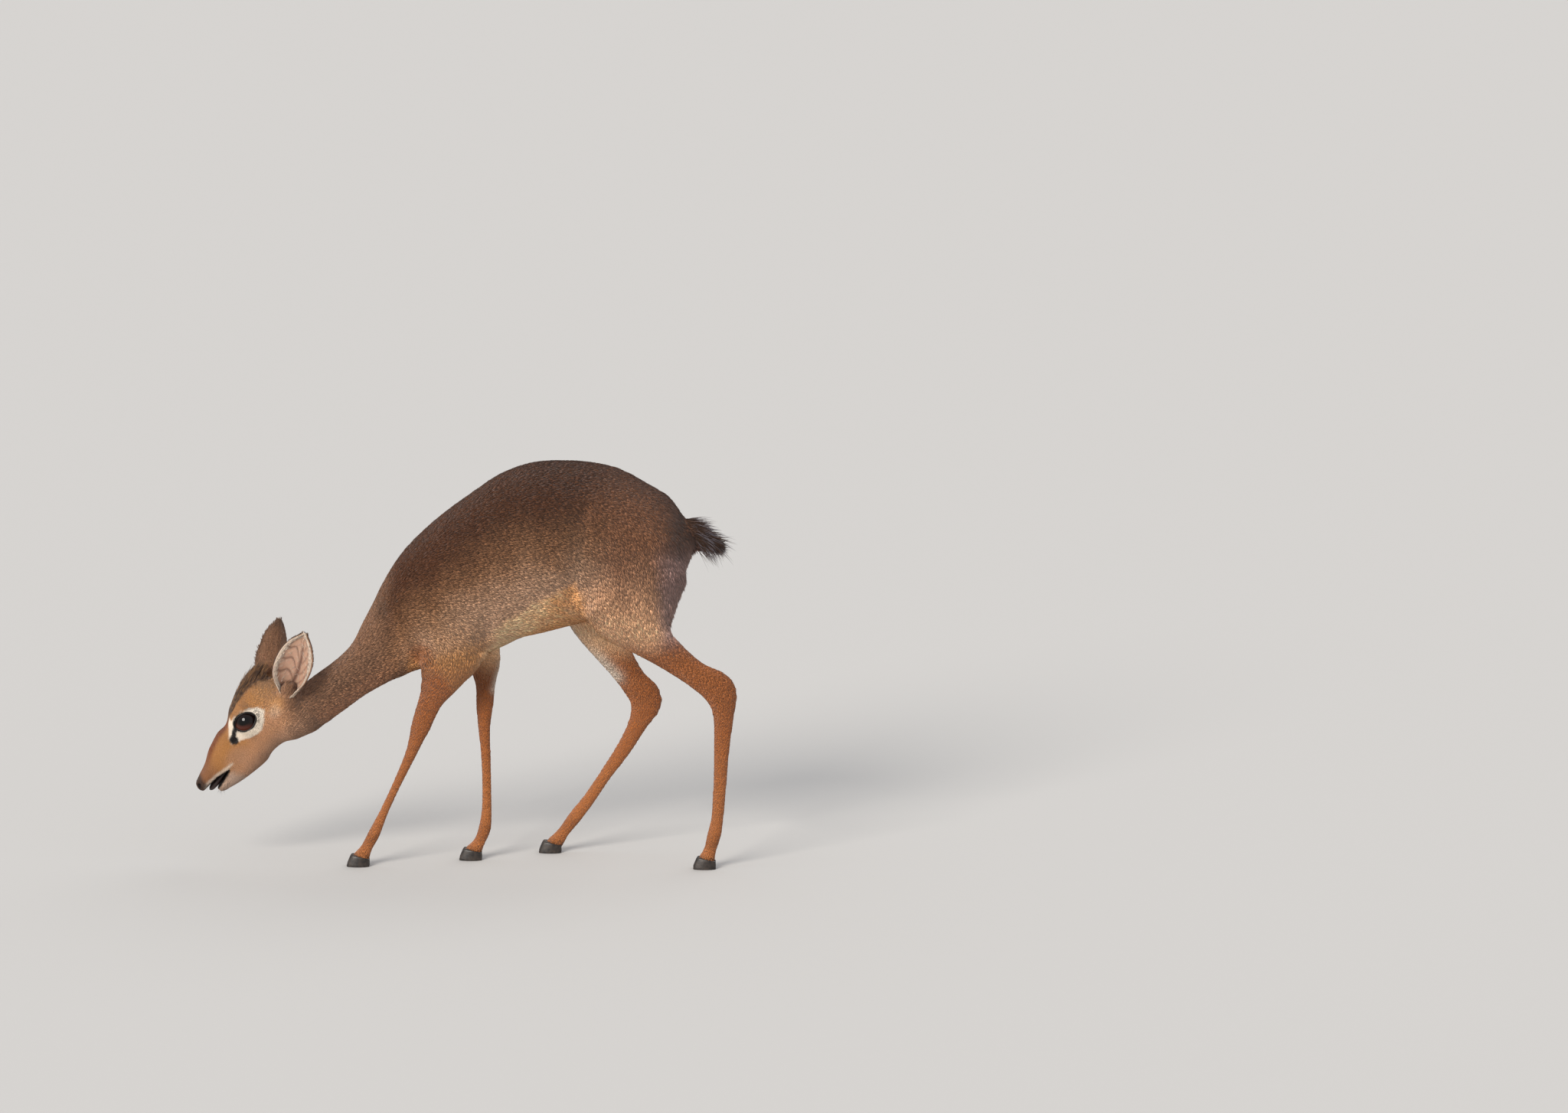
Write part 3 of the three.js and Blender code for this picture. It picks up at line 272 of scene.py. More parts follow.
def head_frame():
    """The head's three directions: along the face, up from it, and to the right side"""
    pitch, yaw, roll = np.radians([HEAD_PITCH, HEAD_YAW, HEAD_ROLL])
    along = np.array([-math.cos(pitch), 0, -math.sin(pitch)])
    side = np.array([0, 1.0, 0])
    side = side * math.cos(roll) - np.cross(along, side) * math.sin(roll)
    c, s = math.cos(yaw), math.sin(yaw)
    turn = np.array([[c, -s, 0], [s, c, 0], [0, 0, 1]])
    along, side = turn @ along, turn @ side
    return np.array([along, np.cross(side, along), side])


HEAD = head_frame()


def in_head(places):
    """Places along, up and sideways in the head, as places of the tables"""
    return HEAD_ORIGIN + np.asarray(places, float) @ HEAD


def to_head(points):
    """Places of the tables, as places along, up and sideways in the head"""
    return (points - HEAD_ORIGIN) @ HEAD.T


def stations_between(rows):
    """Stations on the Catmull-Rom curve through the given ones, STEPS for each length"""
    rows = np.asarray(rows, float)
    last = len(rows) - 1
    i = np.arange(last)
    a, b, c, d = (rows[n][:, None] for n in (np.maximum(i - 1, 0), i, i + 1, np.minimum(i + 2, last)))
    t = (np.arange(STEPS) / STEPS)[None, :, None]
    t2, t3 = t ** 2, t ** 3
    fine = ((2 * t3 - 3 * t2 + 1) * b + (t3 - 2 * t2 + t) * (c - a) / 2
            + (3 * t2 - 2 * t3) * c + (t3 - t2) * (d - b) / 2)
    return np.vstack([fine.reshape(-1, rows.shape[1]), rows[last]])


# Forms of the body

class Form:
    """A centreline with an oval section at each station: it reaches one distance to the front,
    another to the back and a third to both sides. Hair lies with the order of its stations where
    lie is 1 and against it where lie is -1."""

    def __init__(self, name, rows, side=(0, 1, 0), cap=9, lie=1):
        fine = stations_between(rows)
        self.name, self.cap, self.lie = name, cap, lie
        self.side = np.asarray(side, float)
        self.at = fine[:, :3]
        self.front, self.back, self.half = fine[:, 3:].T
        ahead = np.vstack([self.at[1:], self.at[-1:]])
        behind = np.vstack([self.at[:1], self.at[:-1]])
        along = ahead - behind
        self.along = unit(along - np.outer(along @ self.side, self.side))
        self.face = np.cross(self.side, self.along)
        self.reach = np.maximum.reduce([self.front, self.back, self.half])
        self.run = np.concatenate([[0], np.cumsum(np.linalg.norm(np.diff(self.at, axis=0), axis=1))])

    def measure(self, points):
        """For each point: the distance to the section at the nearest place of the centreline,
        below 0 inside, the length run along the centreline and the angle round it.
        With u, v, w the offsets to the front, the side and the end, and f their length in units of
        the section's reaches, the distance is f (f - 1) over the length of f's slope."""
        least = np.full(len(points), FAR)
        run = np.zeros(len(points))
        turn = np.zeros(len(points))
        low = (self.at - self.reach[:, None]).min(0) - MARGIN
        high = (self.at + self.reach[:, None]).max(0) + MARGIN
        inside = np.flatnonzero(np.all((points > low) & (points < high), axis=1))
        held = points[inside]
        for i in range(len(self.at) - 1):
            step = self.at[i + 1] - self.at[i]
            room = max(self.reach[i], self.reach[i + 1]) + np.linalg.norm(step) / 2 + MARGIN
            gap = held - (self.at[i] + step / 2)
            near = np.flatnonzero(np.einsum("ij,ij->i", gap, gap) < room ** 2)
            if not near.size:
                continue
            gap = held[near] - self.at[i]
            t = np.clip(gap @ step / (step @ step), 0, 1)
            gap -= t[:, None] * step
            u = gap @ self.face[i] * (1 - t) + gap @ self.face[i + 1] * t
            v = gap @ self.side
            w = gap @ self.along[i] * (1 - t) + gap @ self.along[i + 1] * t
            reach = np.where(u > 0, mix(self.front[i], self.front[i + 1], t),
                             mix(self.back[i], self.back[i + 1], t))
            half = mix(self.half[i], self.half[i + 1], t)
            far = np.sqrt((u / reach) ** 2 + (v / half) ** 2 + (w / self.cap) ** 2)
            steep = np.sqrt((u / reach ** 2) ** 2 + (v / half ** 2) ** 2 + (w / self.cap ** 2) ** 2)
            distance = far * (far - 1) / np.maximum(steep, TINY)
            distance = np.where(far < 1e-6, -np.minimum(reach, half), distance)
            where = inside[near]
            better = distance < least[where]
            where = where[better]
            least[where] = distance[better]
            run[where] = (mix(self.run[i], self.run[i + 1], t) + w)[better]
            turn[where] = np.arctan2(v / half, u / reach)[better]
        return least, run, turn

    def way(self, run):
        """The way that hair lies at a length run along the centreline"""
        return self.lie * np.stack([np.interp(run, self.run, c) for c in self.along.T], axis=1)


def head_form(name, rows, cap, aside=0):
    """A form given in the head's frame. Its hair lies back from the nose."""
    rows = np.asarray(rows, float)
    places = np.column_stack([rows[:, :2], np.full(len(rows), aside)])
    return Form(name, np.column_stack([in_head(places), rows[:, 2:]]), HEAD[2], cap, lie=-1)


def ear_frame(name):
    """An ear's root and its three ways: up its length, out of its cup and across it"""
    given = EARS[name]
    along = unit(np.array(given["axis"]))
    opening = np.array(given["opening"])
    opening = unit(opening - opening @ along * along)
    return in_head(given["root"]), along, opening, np.cross(along, opening)


def ear_form(name):
    """The fleshy stalk that carries an ear"""
    root, along, _, across = ear_frame(name)
    rows = [[*(root + height * along), *[radius] * 3] for height, radius in EAR_STALK]
    return Form("ear", rows, across, 5)


FORMS = [
    Form("spine", SPINE, cap=17, lie=-1),
    Form("fore", NEAR_FORE),
    Form("fore", FAR_FORE),
    Form("ham", NEAR_HAM),
    Form("ham", FAR_HAM),
    Form("hind", NEAR_HIND),
    Form("hind", FAR_HIND),
    Form("tail", TAIL, cap=7),
    head_form("skull", SKULL, 14),
    head_form("snout", SNOUT, 8),
    head_form("jaw", JAW, 6),
    head_form("crest", CREST, 6),
    head_form("lids", LIDS, 8, -EYE_SIDE),
    head_form("lids", LIDS, 8, EYE_SIDE),
    ear_form("left"),
    ear_form("right"),
]
NAMES = np.array([form.name for form in FORMS])


def share_of(shares, *names):
    """How much of each place belongs to the forms of the given names"""
    return shares[:, np.isin(NAMES, names)].sum(1)


def in_chunks(function, points, size=20000):
    """A function of points worked out for a few thousand of them at a time, side by side"""
    chunks = [points[i:i + size] for i in range(0, len(points), size)]
    with ThreadPoolExecutor(WORKERS) as pool:
        return np.concatenate(list(pool.map(function, chunks)))


def leg_share(points):
    """1 on the slender lower legs, 0 on the trunk: how far a place lies below the elbow or stifle"""
    x, z = points[:, 0], points[:, 2]
    behind_neck = np.maximum(smooth(-78, -58, x), smooth(150, 140, z))
    return np.where(x > NECK_BACK, behind_neck * smooth(236, 186, z - 26 * smooth(60, 130, x)), 0)


def face_share(points):
    """1 on the head in front of the ears, 0 behind them"""
    return smooth(-132, -154, points[:, 0]) * smooth(-26, -6, to_head(points)[:, 0])


def coat_depth(points):
    """How far the skin lies under the tips of the coat"""
    bare = np.maximum(leg_share(points), face_share(points))
    neck = smooth(-60, -110, points[:, 0])
    sizes = bpy.context.scene.dik_dik_sizes
    return mix(mix(sizes.trunk_depth, sizes.neck_depth, neck), sizes.face_depth, bare) / MM


def smooth_most(a, b, width):
    """The larger of two distances, rounded over a width where they are alike"""
    h = np.clip(0.5 + 0.5 * (a - b) / width, 0, 1)
    return b + (a - b) * h + width * h * (1 - h)


def eye_frame(sign):
    """An eye's centre and its three ways: outwards, along its opening and across it"""
    along, up, aside = LID_OUT
    out = unit(np.array([along, up, sign * aside]) @ HEAD)
    lean = math.radians(LID_LEAN)
    long = np.array([math.cos(lean), math.sin(lean), 0]) @ HEAD
    long = unit(long - long @ out * out)
    return in_head([*EYE_PLACE, sign * EYE_SIDE]), out, long, np.cross(out, long)


def on_eye(sign, wide, above, radius):
    """Places on a ball round an eye's centre, at distances along and across the lids' opening"""
    centre, out, long, high = eye_frame(sign)
    ahead = np.sqrt(np.maximum(radius ** 2 - wide ** 2 - above ** 2, 1))
    return centre + ahead[:, None] * out + wide[:, None] * long + above[:, None] * high


def lid_height(long):
    """Half the height of the lids' opening at a share of its half length: an almond"""
    return LID_OPENING[1] * np.maximum(1 - np.abs(long) ** 2.3, 0) ** 0.8


def path_distance(points, path):
    """Distance of points in a plane from a path of straight lengths"""
    path = np.asarray(path, float)
    least = np.full(len(points), np.inf)
    for a, b in zip(path, path[1:]):
        gap, step = points - a, b - a
        t = np.clip(gap @ step / (step @ step), 0, 1)
        least = np.minimum(least, np.linalg.norm(gap - t[:, None] * step, axis=1))
    return least


def band(points, path, width):
    """A soft band along a path in a plane: exp(-(d / width)^2) at a distance d from it"""
    return np.exp(-(path_distance(points, path) / width) ** 2)


def polygon_distance(points, outline):
    """Distance to a closed outline in a plane, below 0 inside it"""
    x, y = points.T
    corners = np.asarray(outline, float)
    corners = np.vstack([corners, corners[:1]])
    least = path_distance(points, corners)
    inside = np.zeros(len(points), bool)
    for a, b in zip(corners, corners[1:]):
        rise = b[1] - a[1] or TINY
        inside ^= ((a[1] > y) != (b[1] > y)) & (x < a[0] + (y - a[1]) * (b[0] - a[0]) / rise)
    return np.where(inside, -least, least)


def ball_distance(points, centre, radii):
    """Distance to an oval ball that lies along the head's own ways"""
    local = (points - centre) @ HEAD.T
    radii = np.asarray(radii, float)
    far = np.linalg.norm(local / radii, axis=1)
    return far * (far - 1) / np.maximum(np.linalg.norm(local / radii ** 2, axis=1), TINY)


def raw_distance(points):
    """Distance to the whole body, below 0 inside: -B ln(sum of exp(-d / B)) over its forms"""
    total = np.zeros(len(points))
    for form in FORMS:
        total += np.exp(-form.measure(points)[0] / BLEND)
    return -BLEND * np.log(total)


RAY, RAY_STEP = 40, 0.25             # length and step of the search for the surface from inside


@lru_cache(maxsize=None)
def pits():
    """Centre and radii of the two nostrils, and then of the two scent glands below the eyes. Each
    centre is where a ray from inside the head comes out of the skin."""
    found = []
    for given in (NOSTRIL, GLAND):
        for sign in (-1, 1):
            flip = np.array([1, 1, sign])
            start = in_head(np.array(given["place"]) * flip)
            way = unit((np.array(given["way"]) * flip) @ HEAD)
            ray = start + np.arange(0, RAY, RAY_STEP)[:, None] * way
            outside = np.flatnonzero(raw_distance(ray) + coat_depth(ray) > 0)[0]
            found.append((tuple(ray[outside] + given.get("out", 0) * way), tuple(given["radii"])))
    return found


def to_nostril(points):
    """Distance from the nearer nostril"""
    return np.min([np.linalg.norm(points - np.array(centre), axis=1) for centre, _ in pits()[:2]], axis=0)


SOCKET_ROOM = 0.1                    # gap between the ball of the eye and its socket
SOCKET_EDGE, LID_EDGE, LIP_EDGE, PIT_EDGE = 0.4, 0.8, 0.8, 1.0       # roundness of each cut's edge


def carve(points, distance):
    """The distance once the eye sockets, lids' openings, mouth, nostrils and glands are cut out"""
    for sign in (-1, 1):
        centre, out, long, high = eye_frame(sign)
        gap = points - centre
        socket = EYE_RADIUS + SOCKET_ROOM - np.linalg.norm(gap, axis=1)
        distance = smooth_most(distance, socket, SOCKET_EDGE)
        ahead, aside, above = gap @ out, gap @ long, gap @ high
        size = mix(0.9, 1.25, np.clip(ahead / (2 * EYE_RADIUS), 0, 1))
        across = np.abs(above) - size * lid_height(aside / (size * LID_OPENING[0]))
        ends = np.abs(aside) - size * LID_OPENING[0]
        opening = np.maximum(np.maximum(0.8 * across, ends), 2 - ahead)
        distance = smooth_most(distance, -opening, LID_EDGE)
    mouth = polygon_distance(to_head(points)[:, :2], MOUTH)
    distance = smooth_most(distance, 0.3 - mouth, LIP_EDGE)
    for centre, radii in pits():
        distance = smooth_most(distance, -ball_distance(points, np.array(centre), radii), PIT_EDGE)
    return distance


# Folds of the skin: a path seen from the side, -1 for the left side or 1 for the right, the fold's
# half width and its depth
FOLDS = [
    ([[122, 366], [118, 343], [110, 300], [113, 284]], -1, 6, 2.6),      # before the near haunch
    ([[122, 366], [116, 343], [104, 300], [100, 280]], 1, 6, 2.6),
    ([[-84, 268], [-74, 246], [-66, 222]], -1, 6, 1.4),                  # before the near shoulder
    ([[-84, 268], [-74, 246], [-66, 222]], 1, 6, 1.4),
    ([[28, 262], [24, 240], [14, 222]], -1, 7, 1.6),                     # behind the near elbow
    ([[44, 262], [42, 240], [36, 222]], 1, 7, 1.6),
]


def fold_depth(points):
    """How deep the folds lie at each place: a soft band along each path, on its own side only"""
    return sum(deep * band(points[:, [0, 2]], path, half) * smooth(0, 20, sign * points[:, 1])
               for path, sign, half, deep in FOLDS)


def skin_distance(points):
    """Distance to the skin, below 0 inside: the body's, less the coat's depth and the folds"""
    distance = raw_distance(points) + coat_depth(points) + fold_depth(points)
    head = points[:, 0] < HEAD_FRONT
    if head.any():
        distance[head] = carve(points[head], distance[head])
    return distance


# The skin's surface

# Places where the grid's lines change their spacing, and the spacing from there on
GRID_X = [(-272, 1.25), (-150, 1.8), (-130, 2.7), (296, 2.7)]
GRID_Y = [(-74, 2.2), (-48, 1.3), (30, 2.0), (74, 2.0)]
GRID_Z = [(-6, 2.8), (54, 1.35), (206, 2.4), (424, 2.4)]
BLOCK = 4                            # cells to a side of the blocks that are tested first
NUDGE = 0.15                         # step for slopes


def grid_lines(stops):
    """Lines at the given spacings, made up to a whole number of blocks"""
    parts = [np.linspace(a, b, max(1, round((b - a) / step)), endpoint=False)
             for (a, step), (b, _) in zip(stops, stops[1:])]
    lines = np.concatenate(parts)
    short = (-(len(lines) - 1)) % BLOCK
    return np.concatenate([lines, lines[-1] + stops[-1][1] * np.arange(1, short + 1)])


def index_grid(*counts):
    """All index triples below the counts"""
    return np.stack(np.meshgrid(*map(np.arange, counts), indexing="ij"), axis=-1).reshape(-1, 3)


def surface_net(distance):
    """The closed surface of quads where a distance is 0. Each grid cell that the surface crosses
    holds one vertex, the mean of the crossings on its edges, and each crossed grid line is ringed
    by the four vertices round it. Only blocks of cells near the surface are worked out."""
    axes = [grid_lines(stops) for stops in (GRID_X, GRID_Y, GRID_Z)]
    shape = tuple(len(a) for a in axes)
    blocks = index_grid(*[(n - 1) // BLOCK for n in shape])
    low = np.stack([axes[n][blocks[:, n] * BLOCK] for n in range(3)], axis=1)
    high = np.stack([axes[n][(blocks[:, n] + 1) * BLOCK] for n in range(3)], axis=1)
    size = np.linalg.norm(high - low, axis=1) / 2
    near = blocks[np.abs(in_chunks(distance, (low + high) / 2)) < 1.5 * size + 2]
    offsets = index_grid(BLOCK + 1, BLOCK + 1, BLOCK + 1)
    nodes = (near[:, None] * BLOCK + offsets[None]).reshape(-1, 3)
    nodes = np.unique(np.ravel_multi_index(nodes.T, shape))
    value = np.full(shape, 1e3)
    places = np.stack([axes[n][i] for n, i in enumerate(np.unravel_index(nodes, shape))], axis=1)
    value.flat[nodes] = in_chunks(distance, places)
    cells = (near[:, None] * BLOCK + index_grid(BLOCK, BLOCK, BLOCK)[None]).reshape(-1, 3)
    corners = {(a, b, c): value[cells[:, 0] + a, cells[:, 1] + b, cells[:, 2] + c]
               for a in (0, 1) for b in (0, 1) for c in (0, 1)}
    below = sum((f < 0).astype(int) for f in corners.values())
    mixed = (below > 0) & (below < 8)
    cells = cells[mixed]
    corners = {key: f[mixed] for key, f in corners.items()}
    total = np.zeros((len(cells), 3))
    crossings = np.zeros(len(cells))
    for key, start in corners.items():
        for axis in range(3):
            if key[axis]:
                continue
            end = corners[tuple(k + (n == axis) for n, k in enumerate(key))]
            crossed = (start < 0) != (end < 0)
            share = np.where(crossed, start / np.where(crossed, start - end, 1), 0)
            place = np.tile(np.array(key, float), (len(cells), 1))
            place[:, axis] += share
            total += place * crossed[:, None]
            crossings += crossed
    total /= crossings[:, None]
    vertices = np.stack([mix(axes[n][cells[:, n]], axes[n][cells[:, n] + 1], total[:, n])
                         for n in range(3)], axis=1)
    owner = np.full(shape, -1)
    owner[tuple(cells.T)] = np.arange(len(cells))
    quads = []
    for axis in range(3):
        start = corners[(0, 0, 0)]
        end = corners[tuple(int(n == axis) for n in range(3))]
        crossed = (start < 0) != (end < 0)
        here = cells[crossed]
        one, two = np.eye(3, dtype=int)[(axis + 1) % 3], np.eye(3, dtype=int)[(axis + 2) % 3]
        ring = np.stack([owner[tuple((here - s).T)] for s in (0 * one, one, one + two, two)], axis=1)
        outward = start[crossed] > 0
        ring[outward] = ring[outward][:, ::-1]
        quads.append(ring)
    quads = np.vstack(quads)
    return vertices, quads[(quads >= 0).all(axis=1)]


def slope_of(distance, points):
    """A distance and its slope at each point, from small steps along the three axes"""
    here = distance(points)
    slope = np.stack([(distance(points + NUDGE * axis) - here) / NUDGE for axis in np.eye(3)], axis=1)
    return np.column_stack([here, slope])


def settled(distance, points, turns=2):
    """Points moved onto the surface down its slope, and the outward normals there"""
    for _ in range(turns):
        found = in_chunks(lambda p: slope_of(distance, p), points)
        here, slope = found[:, 0], found[:, 1:]
        step = -here[:, None] * slope / np.maximum((slope ** 2).sum(1), 0.25)[:, None]
        size = np.linalg.norm(step, axis=1, keepdims=True)
        points = points + step * np.minimum(1, 0.6 / np.maximum(size, TINY))
    return points, unit(slope)


def summed(owners, values, count):
    """The rows of values added up for each owner"""
    return np.stack([np.bincount(owners, column, count) for column in values.T], axis=1)


def relaxed(vertices, quads, share=0.5, turns=1):
    """Each vertex moved part of the way to the mean of its neighbours, a number of times"""
    here = quads[:, [0, 1, 2, 3, 1, 2, 3, 0]].ravel()
    there = quads[:, [1, 2, 3, 0, 0, 1, 2, 3]].ravel()
    count = np.maximum(np.bincount(here, minlength=len(vertices)), 1)[:, None]
    for _ in range(turns):
        vertices = mix(vertices, summed(here, vertices[there], len(vertices)) / count, share)
    return vertices


def normals_of(vertices, quads):
    """Each vertex's normal: the sum of the crossed diagonals of the quads round it"""
    a, b, c, d = (vertices[quads[:, n]] for n in range(4))
    return unit(summed(quads.ravel(), np.repeat(np.cross(c - a, d - b), 4, axis=0), len(vertices)))


def plain_share(points):
    """On the head: 1 well away from the eyes, glands, mouth and nostrils, 0 close to them"""
    flat = to_head(points)[:, :2]
    share = smooth(3, 9, polygon_distance(flat, MOUTH))
    for sign in (-1, 1):
        share = share * smooth(15, 22, np.linalg.norm(points - eye_frame(sign)[0], axis=1))
    for centre, radii in pits():
        share = share * smooth(radii[0], radii[0] + 6, np.linalg.norm(points - np.array(centre), axis=1))
    return share


# The unwrap of the skin: each form gives a chart, its turn across and its length upwards

CHART_PAD = 8
CHART_ROW = 620                      # width at which a row of charts ends


@lru_cache(maxsize=None)
def charts():
    """Lowest corner of each form's chart, its mean radius, and the side of the whole map"""
    radii = [float(np.mean((form.front + form.back + 2 * form.half) / 4)) for form in FORMS]
    sizes = [(2 * math.pi * r + 2 * CHART_PAD, form.run[-1] + 2 * (form.cap + CHART_PAD))
             for r, form in zip(radii, FORMS)]
    corners = [None] * len(FORMS)
    x = y = tallest = widest = 0
    for n in sorted(range(len(FORMS)), key=lambda n: -sizes[n][1]):
        wide, tall = sizes[n]
        if x and x + wide > CHART_ROW:
            x, y, tallest = 0, y + tallest, 0
        corners[n] = (x + wide / 2, y + FORMS[n].cap + CHART_PAD)
        x, tallest = x + wide, max(tallest, tall)
        widest = max(widest, x)
    return corners, radii, max(widest, y + tallest)


LIE_BLEND = 12                       # width over which the lie of one form's hair turns into the next's
DROOP = 0.45                         # how far the hair of the flanks leans downwards
EVEN_TURNS = 20                      # turns of the last smoothing


@lru_cache(maxsize=None)
def skin():
    """The skin as arrays: vertices, quads and their centres, normals, the lie of the hair, each
    corner's place on the unwrap, the share of each form at each vertex, and the turn round the
    spine. After it is settled it is smoothed: most on the trunk, less on the lower legs, and not at
    all near the eyes, glands, mouth and nostrils."""
    vertices, quads = surface_net(skin_distance)
    vertices, _ = settled(skin_distance, vertices, 1)
    vertices = relaxed(vertices, quads)
    vertices, normals = settled(skin_distance, vertices, 2)

    def measures(points):
        return np.stack([np.stack(form.measure(points), axis=1) for form in FORMS], axis=1)

    found = in_chunks(measures, vertices)
    near, run, turn = found[..., 0], found[..., 1], found[..., 2]
    shares = np.exp(-near / BLEND)
    shares /= shares.sum(1, keepdims=True)
    soft = np.exp(-(near - near.min(1, keepdims=True)) / LIE_BLEND)
    lie = sum(soft[:, n, None] * form.way(run[:, n]) for n, form in enumerate(FORMS))
    trunk, legs = share_of(shares, "spine", "ham"), share_of(shares, "fore", "hind")
    even = 0.1 + np.maximum(0.5 * trunk, legs * mix(0.25, 0.5, smooth(160, 205, vertices[:, 2])))
    even = mix(even, 0.5 * plain_share(vertices), face_share(vertices))
    vertices = relaxed(vertices, quads, even[:, None], EVEN_TURNS)
    normals = unit(blend(normals, normals_of(vertices, quads), smooth(0, 0.2, even)))
    lie = unit(lie) - np.array([0, 0, DROOP]) * (trunk * (1 - normals[:, 2] ** 2))[:, None]
    lie = unit(lie - (lie * normals).sum(1, keepdims=True) * normals)

    corners, radii, side = charts()
    owner = shares[quads].sum(1).argmax(1)
    ends = turn[quads, owner[:, None]]
    ends = ends[:, :1] + (ends - ends[:, :1] + math.pi) % (2 * math.pi) - math.pi
    u = np.array(corners)[owner][:, :1] + ends * np.array(radii)[owner][:, None]
    v = np.array(corners)[owner][:, 1:] + run[quads, owner[:, None]]
    return {"vertices": vertices, "quads": quads, "centres": vertices[quads].mean(1),
            "normals": normals, "lie": lie, "map": np.stack([u, v], axis=-1) / side,
            "shares": shares, "turn": turn[:, 0]}


# Markings, and some painted shade

def shade(text):
    """A colour given as six hexadecimal digits, in linear light"""
    parts = np.array([int(text[i:i + 2], 16) for i in (0, 2, 4)]) / 255
    return tuple(np.where(parts <= 0.04045, parts / 12.92, ((parts + 0.055) / 1.055) ** 2.4))


def colour(name):
    """One of the animal's colours, from the panel"""
    return np.array(getattr(bpy.context.scene.dik_dik_colours, name))


def paint(tone, name, share):
    """A tone with a named colour laid over it, as strongly as the share at each place"""
    return blend(tone, colour(name), share)


def darkened(tone, share):
    """A tone made darker by a share at each place"""
    return tone * (1 - share)[:, None]


def bell(points, centre, radii):
    """1 at a centre, falling to 0 beyond the radii as exp(-r^4)"""
    return np.exp(-(((points - np.asarray(centre)) / np.asarray(radii)) ** 2).sum(-1) ** 2)


def waves(points, size, seed):
    """A soft seeded noise between -1 and 1: the mean of sines along random ways"""
    rng = np.random.default_rng(seed)
    ways = unit(rng.normal(size=(9, 3))) * rng.uniform(0.6, 1.6, (9, 1)) * (2 * math.pi / size)
    return np.sin(points @ ways.T + rng.uniform(0, 6.28, 9)).mean(1) * 1.8


# Outlines and paths of the body's markings and of its painted shade, seen from the side: x and z
BELLY = [[111, 298], [92, 288], [67, 273], [46, 259], [27, 245], [31, 226], [60, 205], [112, 205],
         [132, 236], [119, 266]]
HAUNCH_CREASE_SHADE = [[122, 372], [118, 343], [111, 300]]         # painted shade along the crease before the haunch
SHOULDER_EDGE = [[-58, 214], [-40, 222], [-20, 224], [6, 230], [24, 232]]    # the warm patch is below it
FORE_STRIP = [[38, 226], [35, 200], [30, 176]]               # white edge of the far foreleg
HIND_BLAZE = [[108, 246], [121, 226], [140, 200], [152, 186]]        # white front of the far thigh
BELLY_GLEAM = [[104, 266], [82, 256], [60, 246]]
THIGH_EDGE = [[112, 286], [118, 264], [131, 244], [152, 228], [178, 214]]
# Outlines and paths of the face's markings, in the head's frame: along and up
EYE_WHITE = [[23.6, 42.2], [14.6, 39.2], [8.6, 31.6], [6.6, 25], [14.4, 18.6], [23, 14.6], [31, 16.4],
             [40.6, 21.6], [46.9, 22.8], [55.2, 26.6], [53.6, 32], [42, 39.8], [31.5, 43.6]]
EYE_STREAK = [[36, 34.5], [43, 32.4], [48, 29.5]]            # from the corner of the eye to the gland
GLAND_SPOT = [49.8, 27.6]
UPPER_LIP = [[72, 12], [91, 16], [106, 17.2]]


